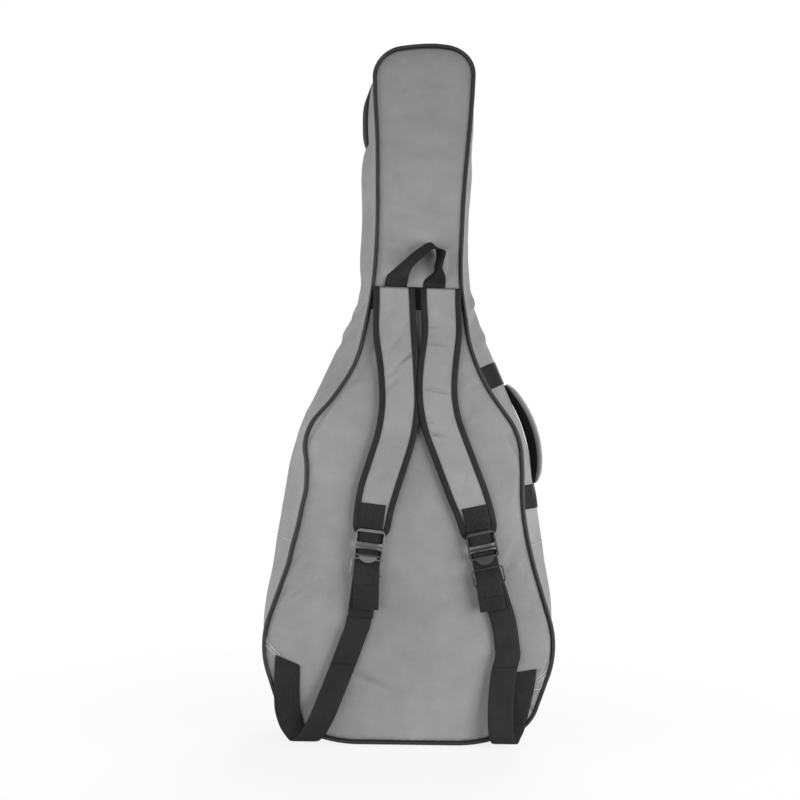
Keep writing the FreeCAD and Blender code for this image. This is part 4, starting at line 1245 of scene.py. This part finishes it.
def stripStations(side, points, step=1.5, kind="hang"):
    place, turn = atBuckle(side)
    across = turn @ Vector((1, 0, 0))
    level = across.lerp(Vector((1, 0, 0)), buckle[kind][side]).normalized()
    result = []
    for p in pathPoints(points, step):
        share = fadeIn(-p.y, buckle["hangFrom"], 12)
        result.append((hangAt(side, (0, p.x, p.y), kind), across.lerp(level, share)))
    return result


def stitches(name, paths, lift, finish, body, size=(2.6, 0.55, 0.35), gap=1.3):
    # short rounded stitches along paths of points that already lie on a surface, facing -Y
    shell = Shell()
    for path in paths:
        line = evenly(path, step=size[0] + gap)
        for a, b in zip(line, line[1:]):
            along = (b - a).normalized()
            middle = (a + b) / 2 + Vector((0, -lift, 0))
            up = Vector((0, -1, 0))
            side = along.cross(up).normalized()
            start = len(shell.points)
            for u, w in ((-1, 0.4), (-0.55, 1), (0.55, 1), (1, 0.4)):
                for t in range(6):
                    angle = math.tau * t / 6
                    shell.points.append(middle + along * (u * size[0] / 2) + side * (math.cos(angle) * size[1] * w)
                                        + up * (math.sin(angle) * size[2] * w))
            for k in range(3):
                for t in range(6):
                    n = (t + 1) % 6
                    shell.face([start + k * 6 + t, start + k * 6 + n, start + k * 6 + 6 + n, start + k * 6 + 6 + t])
            shell.face([start + t for t in range(6)])
            shell.face([start + 18 + t for t in range(6)][::-1])
    return shell.make(name, [finish], body)


def softMetal(node_, name, finish, body, width=0.0006):
    # a rounded copy of a hard part of the frame
    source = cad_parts[node_]
    piece = source.copy()
    piece.data = source.data.copy()
    piece.parent = None
    for key in list(piece.keys()):
        if key.startswith("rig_"):
            del piece[key]
    piece.name = name
    bpy.context.scene.collection.objects.link(piece)
    bpy.ops.object.select_all(action="DESELECT")
    piece.select_set(True)
    bpy.context.view_layer.objects.active = piece
    bpy.ops.object.mode_set(mode="EDIT")
    bpy.ops.mesh.select_all(action="SELECT")
    bpy.ops.mesh.remove_doubles(threshold=0.00002)
    bpy.ops.mesh.tris_convert_to_quads()
    bpy.ops.mesh.dissolve_limited(angle_limit=0.03)
    bpy.ops.object.mode_set(mode="OBJECT")
    rounding = piece.modifiers.new("rounding", "BEVEL")
    rounding.width, rounding.segments, rounding.limit_method, rounding.angle_limit = width, 3, "ANGLE", 0.6
    bpy.ops.object.modifier_apply(modifier="rounding")
    bpy.ops.object.shade_smooth_by_angle(angle=0.7)
    piece.data.materials.clear()
    piece.data.materials.append(finish)
    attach(piece, body)
    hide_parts(node_)
    piece.select_set(False)
    return piece


# the loose webbing's middle line, from below the buckle down to the floor and up to the corner tab
lowerPoints = {
    "left": [(-75.6, -71.8, 189), (-77, -72.6, 181), (-78.4, -73.4, 174), (-80, -75.2, 169), (-83, -74.9, 162),
             (-97, -75.7, 122), (-112, -79, 82), (-125, -85, 49), (-136, -88.5, 27), (-145, -87, 14),
             (-153, -80.5, 8), (-161, -73.5, 13), (-171, -70.5, 27), (-178.5, -70.5, 50), (-180.5, -70, 74),
             (-181, -69, 94), (-181, -68.8, 108), (-181, -68.8, 123)],
    "right": [(143, -72.6, 172), (146.6, -73.4, 147), (147.4, -74.2, 139), (146, -76, 130), (140.7, -78, 108),
              (137, -82, 70), (136.4, -87.5, 36), (139, -88, 18), (144, -81.5, 8), (149, -74, 13), (157, -70.5, 30),
              (164, -70.5, 62), (169, -69.6, 84), (171, -68.8, 97), (173, -68.8, 112)],
}


def buckleSet(side):
    place, turn = atBuckle(side)
    rides = side + "_buckle"
    # the same steel on each side, painted lighter on the left (painted highlight) and darker on the right (painted
    # shade)
    hand = {"left": "paintedLitSteel", "right": "paintedShadedSteel"}[side]
    lock = softMetal(side + "_ladder_lock", side + "LadderLock", finishes[hand], rides)
    origin, back = place((0, 0, 0)), turn.inverted()
    # the slider's black finish, also used on the lock's lower bars as painted shade
    lock.data.materials.append(finishes["slider"])
    work = bmesh.new()
    work.from_mesh(lock.data)
    cuts = [((0, 0, drop), (0, 0, 1)) for drop in ladder["cuts"]]
    cuts += [((hand_ * (ladder["inside"] - 0.2), 0, 0), (1, 0, 0)) for hand_ in (-1, 1)]
    for point, facing in cuts:
        bmesh.ops.bisect_plane(work, geom=work.verts[:] + work.edges[:] + work.faces[:],
                               plane_co=place(point) * mm, plane_no=turn @ Vector(facing))
    work.to_mesh(lock.data)
    work.free()
    for vertex in lock.data.vertices:     # slimmer rails and a flatter lift tab
        p = back @ (vertex.co / mm - origin)
        if abs(p.x) > ladder["inside"] and -36.5 < p.z < 1.5:
            p.x = math.copysign(ladder["inside"] + (abs(p.x) - ladder["inside"]) * 0.66, p.x)
        if p.z < ladder["tab"]:
            p.z = ladder["tab"] + (p.z - ladder["tab"]) * 0.78
        if abs(p.x) < ladder["inside"] - 0.1 and abs(p.z - ladder["bar"]) < 3:
            p.z = ladder["bar"] + (p.z - ladder["bar"]) * 0.7
        vertex.co = (turn @ p + origin) * mm
    for face in lock.data.polygons:       # the bars below the middle are painted dark with the slider finish: painted shade on the recessed bars
        p = back @ (face.center / mm - origin)
        if -38.1 < p.z < -29 and abs(p.x) < ladder["inside"] - 0.2:
            face.material_index = 1
    softMetal(side + "_keeper_ring", side + "Keeper", finishes[hand], rides, width=0.0009)

    # webbing patch on the pad, with its box and cross of stitches
    def onPatch(x, z):
        p = place((x, 0, z))
        p.y = strapFront(side, p.x, p.z, toEndOf(side, p.x, p.z), 1.7)
        return p
    half, shift, columns = buckle["webbing"] / 2, buckle["patchShift"][side], 11
    rows = [[onPatch(x + shift, z) for x in spread(-half, half, columns)]
            for z in spread(2.4 + buckle["patch"], 2.4, 24)]
    behind = [[p + Vector((0, 1.6, 0)) for p in row] for row in rows]
    shell = Shell()
    flat = lambda i, j: (j * 3.8, i * 1.6)
    a, b = shell.grid(rows, flat), shell.grid(behind, flat)
    shell.rim(a, b, columns, len(rows))
    shell.make(side + "StrapPatch", [finishes["ribbed"]], side + "_strap", [side + "_strap_patch"])
    h, low, high = 15.5, 6.0, 36.5
    corners = [(-h, low), (h, low), (h, high), (-h, high)]
    lines = list(zip(corners, corners[1:] + corners[:1])) + [(corners[0], corners[2]), (corners[1], corners[3])]
    paths = [[onPatch(a[0] + (b[0] - a[0]) * t, a[1] + (b[1] - a[1]) * t) for t in spread(0, 1, 14)]
             for a, b in lines]
    stitches(side + "PatchStitches", paths, 0.05, finishes["blackThread"], side + "_strap")

    # webbing through the buckle: the fixed loop, the load webbing with its hanging tail, and the hem
    shell = Shell()
    wrap, loopX, loadX = 1.05, 2.05, 3.05                    # round a bar; the loop's and the load's distance back
    lockFront, keeperBack, keeperFront = -1.05, -1.05, -5.55
    barLow, keeperTop = -16.6 - wrap, -buckle["keeperDrop"][side]
    bottomBar = keeperTop - 27 + 2.4
    ribbed = [finishes["ribbed"], finishes["ribbed"]]
    loop = stripStations(side, [(-loopX, 3.0, 1), (-loopX, barLow, wrap + 0.6), (loopX, barLow, wrap + 0.6),
                                (loopX, -9.4, 1)])
    load = stripStations(side, [(loadX, -buckle["loadEnd"], 1), (loadX, -28.35, 1.6), (lockFront, -28.35, 1.6),
                                (lockFront, keeperTop - 4.4, 6), (keeperFront - 1.7, bottomBar + 7, 6),
                                (keeperFront - 1.9, -buckle["tailEnd"][side], 1)])
    behind = stripStations(side, [(loadX, -buckle["loadEnd"], 1), (loadX, -40, 1)], kind="loadHang")
    load = behind + [s for s in load if (back @ (s[0] - origin)).z > -40 or s[0].y < origin.y]
    hem = stripStations(side, [(keeperFront, -buckle["hemEnd"], 1), (keeperFront, bottomBar + wrap, 1.6),
                               (keeperBack, bottomBar + wrap, 1.6), (keeperBack, -104, 1)])
    for stations in (loop, load, hem):
        webbing("", stations, 38, 1.5, ribbed, shell=shell)
    shell.make(side + "BuckleWebbing", [finishes["ribbed"]], rides, [side + "_buckle_webbing"])
    line = [hangAt(side, (x, keeperFront - 0.8, -buckle["hemEnd"] + 17)) for x in spread(-16, 16, 8)]
    stitches(side + "HemStitches", [line], 0.05, finishes["blackThread"], rides)

    # loose webbing down to the corner tab
    across = turn @ Vector((1, 0, 0))
    level = across.lerp(Vector((1, 0, 0)), buckle["loadHang"][side]).normalized()
    knots = [(hangAt(side, (0, 3.05, -buckle["loadEnd"] - drop), "loadHang"), level) for drop in (0.3, 12)]
    knots += [(Vector(p), Vector((1, 0, 0))) for p in lowerPoints[side]]
    knots[-1] = (knots[-1][0], Vector(buckle["lowEdge"][side]))
    stations = smoothPath(knots, 3.0)
    # it is cut into three pieces at the floor and above the middle; only the last rides on the bag
    lowest = min(range(len(stations)), key=lambda i: stations[i][0].z)
    middle = min(range(lowest), key=lambda i: abs(stations[i][0].z - buckle["splitHeight"]))
    pair = [finishes["twill"], finishes["ribbed"]]
    piece = webbing(side + "LoadWebbing", stations[:middle + 1], 38, 1.5, pair)
    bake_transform(piece)
    piece = webbing(side + "LowerWebbing", stations[middle:lowest + 1], 38, 1.5, pair, None,
                    [side + "_lower_webbing"])
    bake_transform(piece)
    webbing(side + "TabWebbing", stations[lowest:], 38, 1.5, pair, "bag")


for side in ("left", "right"):
    buckleSet(side)
print("buckles and webbing made")

# --- corner tabs, anchor band and hang loop ---

tabs = {
    "left": [(0, 164, 2), (56, 112, 3), (40, 70, 2), (0, 66, 2)],
    "right": [(0, 140, 2), (0, 46, 2), (34, 44, 2), (56, 92, 3)],
    "widest": 224.6, "thick": 1.1, "lift": 0.25,
    # two seams below the upper edge: how far below it, and which share of its length
    "seams": {"left": (3.5, 8.0, 0.22, 0.62), "right": (10.0, 14.5, 0.42, 0.7)},
}


def flatPatch(name, corners, thick, finish, body, stands):
    # a piece of cloth that lies on the back panel
    ring = ringPoints(corners, 0.0, stepsFor(corners, 4.0))
    shell = Shell()
    count = len(ring)
    cx, cz = sum(p[0] for p in ring) / count, sum(p[1] for p in ring) / count
    limit = edgeTree(ringPoints(backCorners, seamTuck + 0.2, stepsFor(backCorners, 2.0)))

    def held(x, z):
        # pulled back inside the seam where the corner runs past it
        (ex, _, ez), _, _ = limit.find((x, 0, z))
        inside = math.hypot(x, z - 200) <= math.hypot(ex, ez - 200)
        return (x, z) if inside else (ex, ez)

    rows = []
    for share in (1.0, 0.985, 0.8, 0.6, 0.4, 0.2, 0.02):
        row = []
        for x, z in ring:
            px, pz = held(cx + (x - cx) * share, cz + (z - cz) * share)
            y = backSurface(px, pz) - tabs["lift"] - (thick if share < 1 else thick * 0.5)
            row.append(Vector((px, y, pz)))
        rows.append(row)
    back = [Vector((p.x, backSurface(p.x, p.z) + 0.2, p.z)) for p in rows[0]]
    rows = [back] + rows
    flat = lambda i, j: (rows[i][j % count].x, rows[i][j % count].z)
    start = shell.grid(rows, flat, closed=True)
    shell.face([start + (len(rows) - 1) * count + k for k in range(count)])
    shell.face([start + k for k in range(count)][::-1])
    return shell.make(name, [finish], body, stands)


for side, hand in (("left", -1), ("right", 1)):
    corners = [(hand * (tabs["widest"] - inwards), z, r) for inwards, z, r in tabs[side]]
    area = sum(a[0] * b[1] - b[0] * a[1] for a, b in zip(corners, corners[1:] + corners[:1]))
    corners = corners if area < 0 else corners[::-1]
    flatPatch(side + "CornerTab", corners, tabs["thick"], finishes["tab"], "bag", [side + "_anchor_tab"])
    upper = tabs[side][:2] if side == "left" else (tabs[side][0], tabs[side][3])
    (ax, az), (bx, bz) = ((hand * (tabs["widest"] - inwards), z) for inwards, z, _ in upper)
    size = math.hypot(bx - ax, bz - az)
    nx, nz = -(bz - az) / size, (bx - ax) / size
    sign = -1 if nz > 0 else 1
    first, second, fromShare, toShare = tabs["seams"][side]
    flatPaths = [[(ax + (bx - ax) * t + sign * nx * offset, az + (bz - az) * t + sign * nz * offset)
                  for t in spread(fromShare, toShare, 9)] for offset in (first, second)]
    if side == "right":
        flatPaths.append([tuple(p) for p in pathPoints([(188, 85, 1), (200, 84, 4), (203, 103, 1)], 2.0)])
    paths = [[Vector((x, backSurface(x, z) - tabs["lift"] - tabs["thick"], z)) for x, z in path]
             for path in flatPaths]
    stitches(side + "TabStitches", paths, 0.1, finishes["thread"], "bag", size=(2.8, 0.62, 0.4), gap=0.7)

band = {"top": 686, "height": 34, "thick": 1.2, "columns": 40}
rows, shell = [], Shell()
sideLine = [p for p in ringPoints(backCorners, seamTuck, stepsFor(backCorners, 2.0)) if p[0] > 0]
for z in spread(band["top"] - band["height"], band["top"] + 1.2, 10):
    half = min(p[0] for p in sideLine if abs(p[1] - z) < 3.5) - 0.5
    row = [Vector((x, backSurface(x, z) - band["thick"] - 0.05, z)) for x in spread(-half, half, band["columns"])]
    rows.append(row + [Vector((p.x, backSurface(p.x, z) - 0.05, z)) for p in row[::-1]])
start = shell.grid(rows, lambda i, j: (i * 3.8, j * 3.2), closed=True)
shell.ends(start, len(rows), len(rows[0]))
shell.make("topAnchorBand", [finishes["twill"]], "bag", ["top_anchor_band"])

loop = {
    "root": (0, -65, 688), "width": 34, "thick": 1.5,
    # places from the root, each with the way its width runs
    "knots": [((-33, -1.9, -3.5), (1, 0, 0)), ((-32.8, -2.6, 5), (1, -0.05, 0)),
              ((-30, -8.5, 15), (0.88, -0.38, -0.26)), ((-24, -13, 23), (0.62, -0.66, -0.4)),
              ((-15, -17, 33), (0.38, -0.82, -0.44)), ((5, -20, 51), (0.3, -0.85, -0.44)),
              ((20, -21, 60), (0.05, -0.87, -0.49)), ((33, -21, 51), (0.35, -0.93, -0.1)),
              ((30.5, -20, 32), (0.33, -0.94, 0)), ((29.5, -17, 23), (0.34, -0.94, 0)),
              ((26.5, -11, 13), (0.85, -0.52, 0)), ((25.5, -2.8, 5), (1, -0.05, 0)),
              ((25.5, -1.9, -3.5), (1, 0, 0))],
}
root = Vector(loop["root"])
stations = smoothPath([(root + Vector(p), Vector(s)) for p, s in loop["knots"]], 2.5)
webbing("hangLoop", stations, loop["width"], loop["thick"], [finishes["twill"], finishes["ribbed"]], "hang_loop",
        ["hang_loop"])
print("tabs, band and hang loop made")

# --- side handle ---

handle = {"high": 563, "low": 373, "band": 37, "rise": 16.5, "thick": 8.6, "width": 34.0, "gap": 0.5, "turn": 25,
          "sides": 28, "stations": 60, "root": 2.4}


def crestPoint(height):
    place = placeAt(height, 1)
    ring = ringAt(0.5, 0.0, False)
    a, b = ring[place - 1], ring[(place + 1) % len(ring)]
    t = (height - a.z) / (b.z - a.z) if abs(b.z - a.z) > 1e-6 else 0
    p = a.lerp(b, t)
    along = (b - a).normalized()
    out = Vector((-along.z, 0, along.x))
    return p, out if out.x > 0 else -out


def crossing(centre, along, far, share, lift):
    # where a level line across the gusset meets its ring at this share
    ring = ringAt(share, lift)
    values = [(p - centre).dot(along) - far for p in ring]
    best = None
    for i, p in enumerate(ring):
        a, b = values[i - 1], values[i]
        if (a < 0) != (b < 0) and p.x > 60 and abs(p.z - centre.z) < 80:
            best = ring[i - 1].lerp(p, a / (a - b))
    return best


for name, height in (("Upper", handle["high"]), ("Lower", handle["low"])):
    centre, out = crestPoint(height)
    along = Vector((out.z, 0, -out.x))
    rows = []
    for far in spread(-handle["band"] / 2, handle["band"] / 2, 10):
        shares = spread(0.035, bag["zipper"] - tapeShare - 0.035, 24)
        row = [crossing(centre, along, far, s, 1.3) for s in shares]
        rows.append(row + [crossing(centre, along, far, s, 0.15) for s in reversed(shares)])
    shell = Shell()
    start = shell.grid(rows, lambda i, j: (i * 4.1, j * 3.6), closed=True)
    shell.ends(start, len(rows), len(rows[0]))
    shell.make("handleBand" + name, [finishes["handleBand"]], "bag", ["handle_band_" + name.lower()])

gripHigh = handle["high"] - handle["band"] / 2 - handle["gap"]
gripLow = handle["low"] + handle["band"] / 2 + handle["gap"]
shell, rows, far = Shell(), [], []
sides = handle["sides"]
for t in spread(0, 1, handle["stations"]):
    p, out = crestPoint(gripHigh + (gripLow - gripHigh) * t)
    arch = math.sin(math.pi * t) ** 0.55
    turn = math.radians(handle["turn"]) * arch
    rise = handle["root"] + (handle["rise"] - handle["thick"] / 2 - handle["root"]) * arch
    taper = min(1.0, math.sin(math.pi * min(max(t, 0.02), 0.98)) * 3.2) ** 0.6
    half, thick = handle["width"] / 2 * (0.62 + 0.38 * taper), handle["thick"] / 2 * (0.3 + 0.7 * taper)
    row = []
    for k in range(sides):
        c, s = math.cos(math.tau * k / sides), math.sin(math.tau * k / sides)
        wide = math.copysign(abs(c) ** 0.55, c) * half
        deep = math.copysign(abs(s) ** 0.8, s) * thick
        q = p + out * (rise + deep * math.cos(turn) - wide * math.sin(turn))
        row.append(Vector((q.x, q.y + wide * math.cos(turn) + deep * math.sin(turn), q.z)))
    rows.append(row)
    far.append(t * (gripHigh - gripLow))
start = shell.grid(rows, lambda i, j: (j * 2.8, far[i]), closed=True)
for f in range(len(shell.faces)):     # mesh on the side that the fingers touch
    shell.slots[f] = 1 if 19 <= f % sides < 25 else 0
shell.ends(start, len(rows), sides)
grip = shell.make("sideHandle", [finishes["gusset"], finishes["mesh"]], "side_handle",
                  ["side_handle_grip", "side_handle_webbing"])
print("handle made")

# --- front pocket ---

pocket = {
    "corners": [(120, 272, 42), (150, 46, 42), (-150, 46, 42), (-120, 272, 42)],
    "deep": 26, "cloth": 1.2, "fold": 112, "zipper": 15, "tape": 5,
    "marks": [(0, 110, 0, 120, 6, 1.4), (-70, 200, 60, 40, 10, 1.4), (80, 180, -55, 40, 10, 1.4),
              (20, 240, 5, 50, 9, 1.0)],
}


def onFront(x, y, z):
    return leaning(x, y + bag["cloth"], z, 1.0)


def pocketRing(y, inset):
    return [onFront(x, y, z) for x, z in ringPoints(pocket["corners"], inset, stepsFor(pocket["corners"], 5.0))]


def pocketWall(name, levels, keepAbove, body, stands, finish, sag=0.0):
    swell = lambda y: sag * math.sin(math.pi * y / pocket["deep"])
    rows = [pocketRing(y, -swell(y)) for y in levels]
    rows += [pocketRing(y, pocket["cloth"] - swell(y)) for y in reversed(levels)]
    rows.append(rows[0])
    deep = levels + levels[::-1] + [0]
    shell = Shell()
    shell.grid(rows, lambda i, j: (j * 5.0, deep[i]), closed=True)
    piece = shell.make(name, [finish], body, stands, weld=0.001)
    if keepAbove is not None:
        cutAt(piece, pocket["fold"] + (0.2 if keepAbove else -0.2), keepAbove)
    return piece


tapeBack, tapeFront = pocket["zipper"] - pocket["tape"], pocket["zipper"] + pocket["tape"]
wallEnd = pocket["deep"] - 2.3
pocketWall("pocketGusset", spread(0.2, tapeBack, 6), None, "bag", ["pocket_gusset"], finishes["gusset"], 0.8)
columns, rows = 50, 42
face, ring = panelGrid(pocket["corners"], 0.0, columns, rows)
pocketEdge = edgeTree(ring)
front, behind = [], []
for row in face:
    front.append([])
    behind.append([])
    for p in row:
        near = 1 - math.exp(-pocketEdge.find((p.x, 0, p.y))[2] / 9)
        wave = 0.9 * waves(p.x * 0.02, 51, p.y * 0.02)
        rise = -2.2 + 4.2 * near + near * (wave + crease(p.x, p.y, pocket["marks"]))
        front[-1].append(onFront(p.x, pocket["deep"] + rise, p.y))
        behind[-1].append(onFront(p.x * 0.99, pocket["deep"] - 2.4 - 1.0 * near + 0.5, 159 + (p.y - 159) * 0.99))
shell = Shell()
flat = lambda i, j: (face[i][j].x, face[i][j].y)
a, b = shell.grid(front, flat), shell.grid(behind, flat)
shell.rim(a, b, columns, rows)
pocketFace = shell.make("pocketPanel", [finishes["panel"]])
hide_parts("pocket_lower_panel", "pocket_flap")
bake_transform(pocketFace)
pocketWall("pocketSide", spread(tapeBack, wallEnd, 7), False, "bag", [], finishes["gusset"], 0.8)
pocketWall("pocketFlapSide", spread(tapeFront, wallEnd, 4), True, "pocket_flap", [], finishes["gusset"], 0.8)
pocketWall("pocketTapeBack", spread(tapeBack, pocket["zipper"] - 0.65, 3), True, "bag",
           ["pocket_zipper_back"], finishes["tape"])
pocketWall("pocketTapeFront", spread(pocket["zipper"] + 0.65, tapeFront, 3), True, "pocket_flap",
           ["pocket_zipper_front"], finishes["tape"])
print("pocket made")

# --- hard parts of the frame keep their shapes ---

for name in ("upper_slider", "lower_slider", "pocket_slider", "upper_pull", "lower_pull", "pocket_pull"):
    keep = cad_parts[name]
    keep.data.materials.clear()
    keep.data.materials.append(finishes["slider"])
